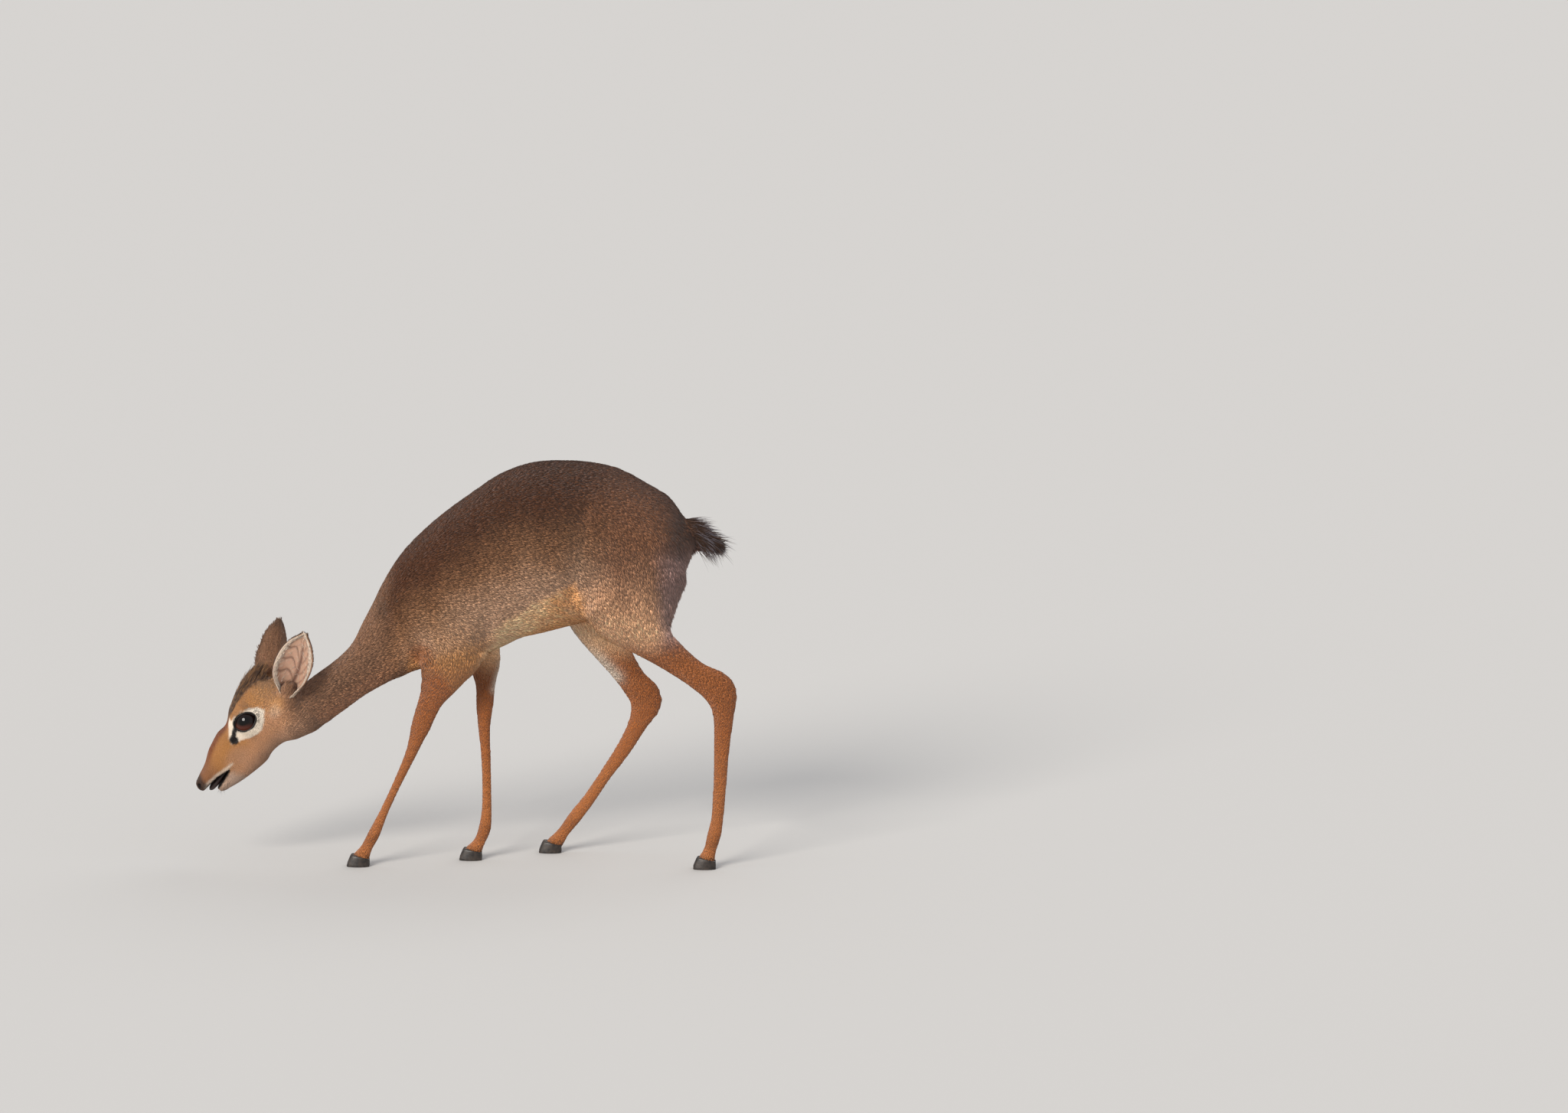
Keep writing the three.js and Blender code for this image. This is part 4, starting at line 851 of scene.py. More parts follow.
def body_tone(points, normals, shares, turn):
    """Colours of the trunk, neck, legs and tail, and how far each place is on a lower leg. Two
    noises make the edges uneven: spread moves them about and streaks run with the hair."""
    x, y, z = points.T
    flat = points[:, [0, 2]]
    hind, fore = share_of(shares, "hind", "ham"), share_of(shares, "fore")
    spread = 5 * waves(points, 60, 3) + 2.5 * waves(points, 22, 4)
    streaks = waves(points @ np.array([[0.5, 0, 1.6], [0, 1, 0], [0.3, 0, 1.9]]), 26, 5)
    height = np.cos(turn)
    leg = share_of(shares, "fore", "hind") * leg_share(points)

    # Trunk and neck
    tone = paint(colour("flank"), "back", smooth(-0.1, 0.75, height + spread / 60))
    tone = paint(tone, "low_flank", smooth(0.25, -0.45, height + spread / 60) * smooth(-80, -20, x))
    haunch = smooth(98, 158, x + 1.6 * spread)
    tone = paint(tone, "haunch", 0.8 * haunch * smooth(1.35, 0.5, height))
    tone = paint(tone, "thigh", haunch * smooth(322, 252, z + spread + 0.25 * (x - 140)))
    silver = smooth(184, 208, x + 0.7 * spread) * smooth(350, 316, z) * smooth(206, 232, z + 0.4 * spread)
    tone = paint(tone, "silver", 0.9 * silver)
    neck = smooth(-66, -92, x)
    tone = blend(tone, paint(colour("neck"), "throat", smooth(0.3, -0.8, height)), neck)
    tone = darkened(tone, 0.4 * neck * bell(flat, [-196, 200], [24, 14]))
    # Painted shade in the hollow where the neck meets the shoulder
    tone = darkened(tone, 0.3 * bell(flat, [-84, 263], [8, 13]))
    # Painted shade: a dark line along the crease before the haunch
    crease_shade = band(flat, HAUNCH_CREASE_SHADE, 3.5) * smooth(10, 30, np.abs(y)) * smooth(375, 340, z)
    tone = darkened(tone, 0.5 * crease_shade)

    # Shoulder
    shoulder = smooth(9, -9, z - np.interp(x, *np.transpose(SHOULDER_EDGE)) + 0.7 * spread)
    shoulder = shoulder * smooth(-66, -54, x) * smooth(44, 30, x) * share_of(shares, "fore", "spine")
    tone = paint(tone, "shoulder", shoulder * smooth(0.9, 0.3, neck))
    shoulder_point = bell(flat, [-43, 219], [15, 13]) * smooth(-76, -60, x)
    tone = blend(tone, 0.72 * colour("leg"), 0.85 * shoulder_point)

    # Legs
    lower = paint(colour("leg"), "leg_low", smooth(150, 60, z))
    tone = blend(tone, lower, smooth(0, 1, leg + 0.02 * spread))
    fore_back = smooth(0, 12, x + 22 - 0.5 * (200 - z)) * smooth(150, 176, z) * fore
    tone = paint(tone, "shoulder", 0.5 * fore_back * (y < 0))
    # Painted shadow on the top of the far foreleg, under the trunk
    tone = darkened(tone, 0.35 * smooth(150, 190, z) * fore * (y > 0))
    tone = paint(tone, "white", 0.6 * band(flat, FORE_STRIP, 3.5) * (y > 4) * fore)
    tone = paint(tone, "white", 0.85 * band(flat, HIND_BLAZE, 8) * (y > 0) * hind)
    inside = smooth(0.2, 0.7, -normals[:, 1] * np.sign(y)) * smooth(196, 228, z)
    tone = paint(tone, "cream", 0.85 * inside * hind)
    tone = blend(tone, 0.7 * colour("leg"), 0.4 * leg * smooth(42, 30, z) * smooth(18, 28, z))
    tone = darkened(tone, 0.3 * smooth(20, 10, z))

    # Belly, edge of the thigh and tail
    gap = polygon_distance(flat, BELLY) + 1.6 * streaks + 0.4 * spread
    under = smooth(-0.72, -0.88, height) * smooth(-2, 30, x) * smooth(150, 120, x)
    belly = np.maximum(smooth(3.5, -2.5, gap), under) * (1 - hind)
    cream = paint(colour("tan"), "cream", smooth(86, 52, x - 0.5 * (z - 252) + 8 * streaks))
    gleam = band(flat, BELLY_GLEAM, 6) * smooth(-0.6, 0.5, streaks)
    tone = blend(tone, paint(cream, "cream", 0.7 * gleam), belly * (1 - leg))
    edge = band(flat, THIGH_EDGE, 7) * smooth(300, 286, z) * (1 - smooth(170, 196, x))
    tone = paint(tone, "tan", 0.85 * edge * (y < 0))
    tail = share_of(shares, "tail") * smooth(212, 224, x)
    tone = paint(tone, "tail", np.maximum(tail, 0.6 * bell(flat, [214, 345], [13, 22])))
    return paint(tone, "ear_back", 0.6 * share_of(shares, "ear")), leg


def face_tone(points):
    """Colours of the head, in its own frame. The noise spot makes the edges uneven."""
    along, up, aside = to_head(points).T
    aside = np.abs(aside)
    off_middle = smooth(5, 8, aside)
    flat = np.column_stack([along, up])
    spot = 2.2 * waves(points, 26, 9) + 1.2 * waves(points, 10, 10)
    face = paint(colour("face"), "cheek", smooth(28, 10, up + 0.3 * (along - 30) + spot))
    face = paint(face, "jaw", smooth(8, -10, up + spot))
    face = paint(face, "jaw", 0.6 * bell(flat, [62, 14], [16, 10]))
    face = paint(face, "neck", 0.85 * smooth(10, -22, along + spot) * smooth(36, 20, up))
    bridge = smooth(12, 6, aside) * smooth(28, 36, up + 0.12 * along) * smooth(32, 42, along)
    face = paint(face, "bridge", 0.9 * bridge)
    face = paint(face, "muzzle", 0.9 * smooth(72, 94, along + spot) * smooth(13, 20, up))
    face = paint(face, "ginger", bell(flat, [-10, 40], [14, 14]) * smooth(5, 12, aside))
    face = paint(face, "ginger", 0.8 * bell(flat, [-4, 20], [10, 8]))
    face = paint(face, "white", 0.2 * bell(flat, [2, 16], [7, 6]))
    crown = smooth(13, 8, aside) * smooth(35, 41, up)
    face = paint(face, "crest", crown * smooth(46, 32, along) * smooth(-22, -14, along))
    face = paint(face, "dark", 0.45 * bell(flat, [-15, 47], [4, 9]) * smooth(12, 5, aside))

    # White round the eye, black gland and lids
    ring = smooth(0.9, -0.9, polygon_distance(flat, EYE_WHITE) + 0.35 * spot)
    face = paint(face, "white", ring * off_middle)
    streak = smooth(2.7, 1.7, path_distance(flat, EYE_STREAK))
    gland = smooth(5.6, 4.4, np.hypot(along - GLAND_SPOT[0], (up - GLAND_SPOT[1]) * 1.05))
    dark = np.maximum(streak, gland) * off_middle
    for sign in (-1, 1):
        centre, out, long, high = eye_frame(sign)
        gap = points - centre
        round_eye = np.hypot(gap @ long / (LID_OPENING[0] + 1.2), gap @ high / (LID_OPENING[1] + 0.9))
        dark = np.maximum(dark, smooth(1.1, 1.0, round_eye) * (gap @ out > 2))
    face = paint(face, "dark", dark)

    # Chin, lips and nose
    face = paint(face, "chin", 0.9 * smooth(10.5, 7, up) * smooth(68, 80, along + spot))
    lip = smooth(4.2, 1.8, path_distance(flat, UPPER_LIP))
    face = paint(face, "white", 0.6 * lip * smooth(11.5, 13.5, up))
    face = paint(face, "nose", 0.9 * smooth(100, 106, along + 0.25 * (up - 20)) * smooth(15, 19, up))
    # Dark lips, and painted shade on the walls inside the open mouth
    face = paint(face, "dark", smooth(2.3, 1.1, polygon_distance(flat, MOUTH)))
    return paint(face, "dark", smooth(3.8, 2.2, to_nostril(points)))


def markings(points, normals, shares, turn):
    """Colour of the coat at each place, and how grizzled it is: 1 where the tufts' tips are palest
    and darkest, near 0 where they are all alike"""
    along = to_head(points)[:, 0]
    tone, leg = body_tone(points, normals, shares, turn)
    head = smooth(-132, -154, points[:, 0]) * smooth(-34, -12, along)
    tone = blend(tone, face_tone(points), head)
    grizzle = np.clip(1 - 0.85 * leg - 0.8 * head * smooth(-24, -4, along), 0.12, 1)
    return np.clip(tone, 0, 1), grizzle


def hair_length(points, shares):
    """Length of the hair at each place"""
    x, _, z = points.T
    along = to_head(points)[:, 0]
    sizes = bpy.context.scene.dik_dik_sizes
    back, rump, leg, face, tail = (getattr(sizes, f"{name}_hair") / MM
                                   for name in ("back", "rump", "leg", "face", "tail"))
    trunk = mix(mix(back, rump, smooth(170, 215, x)), 0.85 * back, smooth(-60, -110, x))
    legs = mix(1.5 * leg, leg, smooth(190, 130, z)) * mix(1, 1.5, smooth(24, 14, z))
    head = mix(mix(6.5, face, smooth(-8, 26, along)), 0.7 * face, smooth(60, 92, along))
    length = mix(mix(trunk, legs, leg_share(points)), head, face_share(points))
    return mix(length, tail, share_of(shares, "tail") * smooth(216, 228, x))


# Meshes

def new_mesh(name, vertices, faces, maps=None, shades=None):
    """A mesh object from arrays of places in metres and of faces with the same number of corners.
    maps holds a place on each named map for each corner, and shades a colour for each vertex."""
    mesh = bpy.data.meshes.new(name)
    count, sides = faces.shape
    mesh.vertices.add(len(vertices))
    mesh.vertices.foreach_set("co", np.asarray(vertices, np.float32).ravel())
    mesh.loops.add(count * sides)
    mesh.loops.foreach_set("vertex_index", faces.astype(np.int32).ravel())
    mesh.polygons.add(count)
    mesh.polygons.foreach_set("loop_start", np.arange(0, count * sides, sides, dtype=np.int32))
    mesh.polygons.foreach_set("use_smooth", np.ones(count, bool))
    mesh.update(calc_edges=True)
    for label, places in (maps or {}).items():
        layer = mesh.uv_layers.new(name=label)
        layer.uv.foreach_set("vector", np.asarray(places, np.float32).ravel())
    if shades is not None:
        layer = mesh.color_attributes.new("hair", "FLOAT_COLOR", "POINT")
        full = np.column_stack([shades, np.ones(len(shades))])
        layer.data.foreach_set("color", full.astype(np.float32).ravel())
    mesh.validate()
    piece = bpy.data.objects.new(name, mesh)
    bpy.context.scene.collection.objects.link(piece)
    return piece


def grid_faces(rows, columns, closed):
    """Quads between the points of a grid. A closed grid's last column joins its first."""
    r = np.arange(rows - 1)[:, None]
    c = np.arange(columns if closed else columns - 1)[None]
    a = r * columns + c
    b = r * columns + (c + 1) % columns
    return np.stack([a, b, b + columns, a + columns], axis=-1).reshape(-1, 4)


def outward(vertices, faces):
    """Faces in the order that makes the volume inside them positive"""
    a, b, c = (vertices[faces[:, n]] for n in (0, 1, 2))
    volume = (a * np.cross(b, c)).sum()
    if faces.shape[1] == 4:
        d = vertices[faces[:, 3]]
        volume += (a * np.cross(c, d)).sum()
    return faces if volume > 0 else faces[:, ::-1]


def triangles_of(faces):
    """Quads as pairs of triangles"""
    return np.vstack([faces[:, [0, 1, 2]], faces[:, [0, 2, 3]]])


def closed_loft(rings):
    """Triangles over rings of points, one after another, with a middle point at each end"""
    rows, columns, _ = rings.shape
    vertices = np.vstack([rings.reshape(-1, 3), rings[0].mean(0), rings[-1].mean(0)])
    c = np.arange(columns)
    after = (c + 1) % columns
    first, last = rows * columns, rows * columns + 1
    top = (rows - 1) * columns
    ends = np.vstack([np.column_stack([np.full(columns, first), after, c]),
                      np.column_stack([np.full(columns, last), top + c, top + after])])
    faces = np.vstack([triangles_of(grid_faces(rows, columns, True)), ends])
    return vertices, outward(vertices, faces)


def joined(parts):
    """Several (vertices, faces, corner places, colours) as one"""
    points, faces, corners, tones = zip(*parts)
    shifts = np.cumsum([0] + [len(part) for part in points[:-1]])
    faces = [part + shift for part, shift in zip(faces, shifts)]
    return np.vstack(points), np.vstack(faces), np.vstack(corners), np.vstack(tones)


def circle(count):
    """Angles evenly spaced round a full turn"""
    return np.linspace(0, 2 * math.pi, count, endpoint=False)


def dress(piece, material, slot, *replaced):
    """Gives a piece its material and its place on the frame, and hides the nodes that it stands for"""
    piece.data.materials.append(material)
    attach(piece, "root")
    if replaced:
        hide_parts(*replaced)


# Shader maths

class Value:
    """A socket of a finish's node tree. Sums, differences and products of such sockets, or of one
    and a number, add Math nodes."""

    def __init__(self, tree, socket):
        self.tree, self.socket = tree, socket

    def _maths(self, operation, first, second):
        return self.tree.node("ShaderNodeMath", {"operation": operation}, {0: first, 1: second})

    def __add__(self, other):
        return self._maths("ADD", self, other)

    def __sub__(self, other):
        return self._maths("SUBTRACT", self, other)

    def __mul__(self, other):
        return self._maths("MULTIPLY", self, other)

    def __rsub__(self, other):
        return self._maths("SUBTRACT", other, self)

    __radd__ = __add__
    __rmul__ = __mul__


class Finish:
    """A new material and the nodes that make it up"""

    def __init__(self, name):
        self.material = bpy.data.materials.new(name)
        self.material.use_nodes = True
        self.nodes = self.material.node_tree.nodes
        self.nodes.clear()

    def node(self, kind, settings=None, inputs=None, output=0):
        """Adds a node: its settings first, then the values or links of its sockets. The setting
        named stops holds a colour ramp's places and colours."""
        made = self.nodes.new(kind)
        for key, value in (settings or {}).items():
            if key == "stops":
                ramp = made.color_ramp.elements
                while len(ramp) < len(value):
                    ramp.new(0.5)
                for element, (position, tone) in zip(ramp, value):
                    element.position = position
                    element.color = (*tone, 1)
            else:
                setattr(made, key, value)
        for key, value in (inputs or {}).items():
            if isinstance(value, Value):
                self.material.node_tree.links.new(value.socket, made.inputs[key])
            else:
                made.inputs[key].default_value = value
        return Value(self, made.outputs[output])

    def surface(self, **inputs):
        """The shader and the output. Names hold _ where the sockets' names hold a space."""
        named = {key.replace("_", " "): value for key, value in inputs.items()}
        shader = self.node("ShaderNodeBsdfPrincipled", {}, named)
        output = self.nodes.new("ShaderNodeOutputMaterial")
        self.material.node_tree.links.new(shader.socket, output.inputs["Surface"])
        return self.material

    def between(self, factor, low, high):
        """A value that runs from low to high as the factor runs from 0 to 1"""
        return self.node("ShaderNodeMapRange", {}, {"Value": factor, "To Min": low, "To Max": high})

    def bump(self, height, strength, distance):
        """A normal that leans with the slope of a height"""
        return self.node("ShaderNodeBump", {}, {"Strength": strength, "Distance": distance, "Height": height})

    def painted(self):
        """The colours held by the piece's vertices"""
        return self.node("ShaderNodeVertexColor", {"layer_name": "hair"})

    def stretched(self, place, scale):
        """Places scaled along each axis"""
        return self.node("ShaderNodeMapping", {}, {"Vector": place, "Scale": scale})

    def tint(self, base, factor, low, high):
        """A colour made darker or lighter: multiplied by a grey between low and high"""
        grey = self.between(factor, low, high)
        return self.node("ShaderNodeMix", {"data_type": "RGBA", "blend_type": "MULTIPLY"},
                         {"Factor": 1.0, 6: base, 7: grey}, output=2)

    def noise(self, scale, detail, place):
        """Soft noise: its scale in turns to the metre, and how many finer layers it has"""
        return self.node("ShaderNodeTexNoise", {}, {
            "Scale": scale, "Detail": detail, "Roughness": 0.55, "Vector": place})

    def object_place(self):
        """Places in the piece's own coordinates"""
        return self.node("ShaderNodeTexCoord", {}, {}, output="Object")


def coat_finish(name, rough):
    """Hair: the tuft's own colour, a little uneven, with a soft dull gloss"""
    finish = Finish(name)
    speck = finish.noise(900, 2, finish.object_place())
    return finish.surface(Base_Color=finish.tint(finish.painted(), speck, 0.8, 1.2), Roughness=rough,
                          Specular_IOR_Level=0.22, Sheen_Weight=0.12, Sheen_Roughness=0.5)


def skin_finish():
    """Skin under the hair: the same colours, with fine streaks along the lie of the hair"""
    finish = Finish("hide")
    place = finish.node("ShaderNodeUVMap", {"uv_map": "Lie"})
    streaks = finish.noise(1500, 3, finish.stretched(place, (1.0, 0.22, 1.0)))
    grain = finish.noise(700, 3, finish.object_place())
    tone = finish.tint(finish.painted(), 0.6 * streaks + 0.4 * grain, 0.75, 1.15)
    return finish.surface(Base_Color=tone, Roughness=0.8, Specular_IOR_Level=0.2,
                          Normal=finish.bump(streaks, 0.55, 0.0006))


# Hair

# A tuft's four points: root, left and right of its widest place, and tip
TUFT_FACES = np.array([[0, 2, 1], [1, 2, 3], [0, 1, 3], [0, 3, 2]])
TUFT_PATCH = np.array([[0.5, 0.0], [0.0, 0.45], [1.0, 0.45], [0.5, 1.0]])
PATCH = 0.003                        # side of a tuft's patch on the unwrap
WIDEST, RISEN = 0.42, 0.62           # shares of its length and rise where a tuft is widest
PALE_TIPS = 0.42                     # share of the tufts with a pale tip; the others' are dark
PALER, DARKER = 0.42, -0.34          # change of a tip's tone where the coat is fully grizzled
ACROSS = [0.31, 0.9, 0.17]           # a way that no long hair lies along


def tufts(roots, normals, lie, length, width, lift, tone, grizzle, spots, rng, rooted=0.5):
    """One solid tuft of hair for each root: a thin closed leaf of four triangles that leaves the
    skin, lies over along the lie of the hair and ends in a point. Each one's way, length, width and
    lift are drawn round the given ones. The leaves start as deep as rooted under the skin, and
    spots are their roots' places on the unwrap. Gives vertices, triangles, corner places and
    vertex colours."""
    count = len(roots)
    lay = unit(lie + rng.normal(0, 0.16, (count, 3)))
    lay = unit(lay - (lay * normals).sum(1, keepdims=True) * normals)
    across = np.cross(lay, normals)
    long = (length * rng.uniform(0.75, 1.2, count))[:, None]
    wide = (width * rng.uniform(0.7, 1.25, count))[:, None] / 2
    rise = (lift * rng.uniform(0.45, 1.3, count))[:, None]
    bend = roots + lay * long * WIDEST + normals * rise * RISEN
    bend = bend + across * wide * rng.normal(0, 0.5, (count, 1))
    tip = roots + lay * long + normals * rise
    points = np.stack([roots - normals * rooted, bend - across * wide, bend + across * wide, tip], axis=1)
    light = rng.normal(0, 1, count) * grizzle
    body = np.clip(tone * (1 + 0.16 * light)[:, None], 0, 1)
    end = body * (1 + np.where(rng.random(count) < PALE_TIPS, PALER, DARKER) * grizzle)[:, None]
    root = body * (0.9 - 0.25 * grizzle)[:, None]
    colours = np.stack([root, body, body, np.clip(end, 0, 1)], axis=1)
    faces = (np.arange(count)[:, None, None] * 4 + TUFT_FACES[None]).reshape(-1, 3)
    patch = spots[:, None] + (TUFT_PATCH[None] - 0.5) * PATCH
    corners = patch[:, TUFT_FACES.ravel()].reshape(-1, 2)
    return points.reshape(-1, 3), faces, corners, colours.reshape(-1, 3)


def strands(roots, ways, bends, length, radius, tones, tips, spots, rows=6, sides=3):
    """Long hairs, each a closed cone along root + L (t way + t^2 bend), where t runs from 0 at its
    root to 1 at its tip and the radius is r (1 - 0.97 t^1.6). tones and tips are their colours at
    the root and at the tip. Gives what tufts gives."""
    count = len(roots)
    t = np.linspace(0, 1, rows)[None, :, None]
    path = roots[:, None] + length[:, None, None] * (t * ways[:, None] + t ** 2 * bends[:, None])
    way = unit(np.gradient(path, axis=1))
    one = unit(np.cross(way, ACROSS))
    two = np.cross(way, one)
    spin = circle(sides)[None, None, :, None]
    size = (radius[:, None, None] * (1 - 0.97 * t ** 1.6))[..., None]
    rings = path[:, :, None] + size * (np.cos(spin) * one[:, :, None] + np.sin(spin) * two[:, :, None])
    last = (rows - 1) * sides
    faces = np.vstack([triangles_of(grid_faces(rows, sides, True)), [[0, 2, 1], [last, last + 1, last + 2]]])
    first = rings[0].reshape(-1, 3)
    faces = outward(first - first.mean(0), faces)
    patch = np.stack(np.broadcast_arrays((np.arange(sides) + 0.5)[None] / sides,
                                         np.linspace(0, 1, rows)[:, None]), axis=-1).reshape(-1, 2)
    corners = (spots[:, None] + (patch[None] - 0.5) * PATCH)[:, faces.ravel()].reshape(-1, 2)
    shades = tones[:, None] + (tips - tones)[:, None] * smooth(0.2, 0.9, t)
    shades = np.repeat(shades, sides, axis=1).reshape(-1, 3)
    every = (np.arange(count)[:, None, None] * rows * sides + faces[None]).reshape(-1, 3)
    return rings.reshape(-1, 3), every, corners, np.clip(shades, 0, 1)


@lru_cache(maxsize=None)
def skin_paint():
    """Colour, grizzle and length of the hair at each vertex of the skin"""
    held = skin()
    tone, grizzle = markings(held["vertices"], held["normals"], held["shares"], held["turn"])
    return tone, grizzle, hair_length(held["vertices"], held["shares"])


def sow(where, density, rng):
    """Roots spread evenly over part of the skin. where tells which quads take them, and density
    gives their number per square millimetre of each quad. Gives values at the roots, interpolated
    from the quads' corners: place, normal, lie, colour, grizzle, length and place on the unwrap."""
    held = skin()
    tone, grizzle, length = skin_paint()
    points = held["vertices"]
    triples = triangles_of(held["quads"][where])
    places = triangles_of(held["map"][where])
    density = np.tile(np.broadcast_to(density, where.shape)[where], 2)
    a, b, c = (points[triples[:, n]] for n in range(3))
    weight = np.linalg.norm(np.cross(b - a, c - a), axis=1) / 2 * density
    total = np.cumsum(weight)
    count = int(total[-1])
    at = np.searchsorted(total, (np.arange(count) + rng.random(count)) / count * total[-1])
    at = np.minimum(at, len(triples) - 1)
    r, s = rng.random((2, count))
    over = r + s > 1
    r, s = np.where(over, 1 - r, r), np.where(over, 1 - s, s)
    share = np.stack([1 - r - s, r, s], axis=1)

    def at_roots(values):
        return np.einsum("nk,nk...->n...", share, values[triples[at]])

    return {"roots": at_roots(points), "normals": unit(at_roots(held["normals"])),
            "lie": unit(at_roots(held["lie"])), "tone": at_roots(tone),
            "grizzle": at_roots(grizzle), "length": at_roots(length),
            "spots": np.einsum("nk,nkd->nd", share, places[at])}


BARE_LIDS, BARE_LIPS, BARE_NOSTRIL = 1.6, 1.7, 3.0           # widths of bare skin round each
BARE_FOOT = 22                       # distance from a foot's middle within which its hair ends


def bare(points):
    """True where no tuft grows: the lids' opening, the mouth, the nostrils and under the hooves'
    upper edge"""
    cut = polygon_distance(to_head(points)[:, :2], MOUTH) < BARE_LIPS
    for sign in (-1, 1):
        centre, out, long, high = eye_frame(sign)
        gap = points - centre
        wide, above = gap @ long / (LID_OPENING[0] + BARE_LIDS), gap @ high / (LID_OPENING[1] + BARE_LIDS)
        cut |= (np.hypot(wide, above) < 1) & (gap @ out > 0)
    cut |= to_nostril(points) < BARE_NOSTRIL
    cut &= points[:, 0] < HEAD_FRONT
    for x, y, _ in FEET.values():
        under = points[:, 2] < HOOF_TOP + 2.2 - HOOF_TOP_SLOPE * (points[:, 0] - x)
        cut |= under & (np.hypot(points[:, 0] - x, points[:, 1] - y) < BARE_FOOT)
    return cut


def hair_piece(name, slot, points, faces, corners, colours):
    """A piece of hair from what tufts or strands gives"""
    piece = new_mesh(name, to_row(points), faces, {"OFBake": corners}, colours)
    dress(piece, bpy.data.materials[f"coat_{slot}"], slot)


def coat(name, slot, where, density, shape, seed):
    """A piece of the coat over some of the skin's quads. shape gives a tuft's width and lift from
    its length."""
    rng = np.random.default_rng(seed)
    grown = sow(where & ~bare(skin()["centres"]), density, rng)
    length = grown["length"]
    hair_piece(name, slot, *tufts(grown["roots"], grown["normals"], grown["lie"], length,
                                  *shape(length), grown["tone"], grown["grizzle"], grown["spots"], rng))


def flat_tuft(length):
    """Width and lift of the tufts of the trunk and neck"""
    return 0.09 * length + 0.35, 0.17 * length


def short_tuft(length):
    """Width and lift of the tufts of the face and legs"""
    return 0.13 * length + 0.18, length * mix(0.11, 0.17, smooth(4, 6.5, length))


def tail_tuft(length):
    """Width and lift of the tufts of the tail"""
    return 0.06 * length, 0.3 * length


# Properties

def length_property(name, text, default):
    return FloatProperty(name=name, description=text, default=default, min=0, unit="LENGTH")


def colour_property(name, text, default):
    return FloatVectorProperty(name=name, description=text, default=shade(default), size=3,
                               min=0, max=1, subtype="COLOR")


class DikDikSizes(bpy.types.PropertyGroup):
    trunk_depth: length_property("Depth of the trunk's coat", "From the skin to the tips", 0.0026)
    neck_depth: length_property("Depth of the neck's coat", "From the skin to the tips", 0.0020)
    face_depth: length_property("Depth of the face's coat", "From the skin to the tips", 0.0009)
    back_hair: length_property("Hair of the back", "Length of a tuft", 0.0085)
    rump_hair: length_property("Hair of the rump", "Length of a tuft", 0.0125)
    leg_hair: length_property("Hair of the legs", "Length of a tuft", 0.0036)
    face_hair: length_property("Hair of the face", "Length of a tuft", 0.0030)
    tail_hair: length_property("Hair of the tail", "Length of a tuft or long hair", 0.017)
    crest_hair: length_property("Hair of the crest", "Length of a hair", 0.016)
    thickness: FloatProperty(name="Thickness", description="Share of the full number of tufts",
                             default=1, min=0.05, max=1, subtype="FACTOR")
    seed: IntProperty(name="Seed", description="Start of the random draws", default=7, min=0)


class DikDikColours(bpy.types.PropertyGroup):
    back: colour_property("Back", "Grizzled dark grey-brown", "54311b")
    flank: colour_property("Flank", "Grizzled grey-brown", "986c4b")
    low_flank: colour_property("Lower flank", "Paler grey-brown", "c89f80")
    haunch: colour_property("Haunch", "Grey-brown", "8f6043")
    thigh: colour_property("Thigh", "Pale brown of the outer thigh", "f4bd91")
    silver: colour_property("Rear of the thigh", "Silvery grey", "9b7c76")
    shoulder: colour_property("Shoulder", "Warm brown above the foreleg", "ca915b")
    neck: colour_property("Neck", "Grizzled grey-brown", "88634a")
    throat: colour_property("Throat", "Pale brown", "b07d5b")
    cream: colour_property("Belly", "Creamy white", "f8ca9c")
    tan: colour_property("Edge of the belly", "Orange-tan", "efad71")
    leg: colour_property("Legs", "Ginger", "a86332")
    leg_low: colour_property("Lower legs", "Pale ginger", "b46f3c")
    face: colour_property("Face", "Tan", "af7944")
    cheek: colour_property("Cheek", "Pale orange-tan", "c49069")
    jaw: colour_property("Jaw", "Greyish tan", "b2886b")
    bridge: colour_property("Bridge of the nose", "Rufous", "7a3b15")
    muzzle: colour_property("Muzzle", "Brown", "895c3d")
    ginger: colour_property("Behind the crest", "Orange-tan", "c18c58")
    crest: colour_property("Crest", "Dark grey-brown", "5c4230")
    white: colour_property("Ring round the eye", "White", "e8dac8")
    chin: colour_property("Chin", "Greyish white", "bca08d")
    nose: colour_property("Nose", "Blackish brown", "3a2a22")
    dark: colour_property("Lids and gland", "Black", "120c0a")
    eye: colour_property("Eyes", "Blackish brown", "150c0a")
    # Reddish brown round the pupils, shown on their lower half only as painted light
    lit_iris: colour_property("Lower part of the eyes", "Reddish brown", "4b241a")
    pupil: colour_property("Pupils", "Black", "070504")
    # Kept very dark as painted shade for the inside of the open mouth
    tongue: colour_property("Tongue", "Very dark brown", "2a1916")
    tail: colour_property("Tail", "Blackish brown", "3f291c")
    wisp: colour_property("Tail's tips", "Blue-grey", "77737c")
    ear_back: colour_property("Back of the ears", "Grey-brown", "866148")
    ear_inside: colour_property("Inside of the ears", "Pinkish cream", "a98671")
    ear_vein: colour_property("Veins of the ears", "Dusky", "53352a")
    hoof: colour_property("Hooves", "Black horn", "120e0c")
    hoof_worn: colour_property("Worn parts of the hooves", "Dark grey-brown horn", "3a3029")
    floor: colour_property("Floor", "Pale grey", "bfbdba")


# Operators

class Builder(bpy.types.Operator):
    """What the operators below share"""

    bl_options = {"REGISTER", "UNDO"}

    @property
    def sizes(self):
        """The animal's sizes, from the panel"""
        return bpy.context.scene.dik_dik_sizes


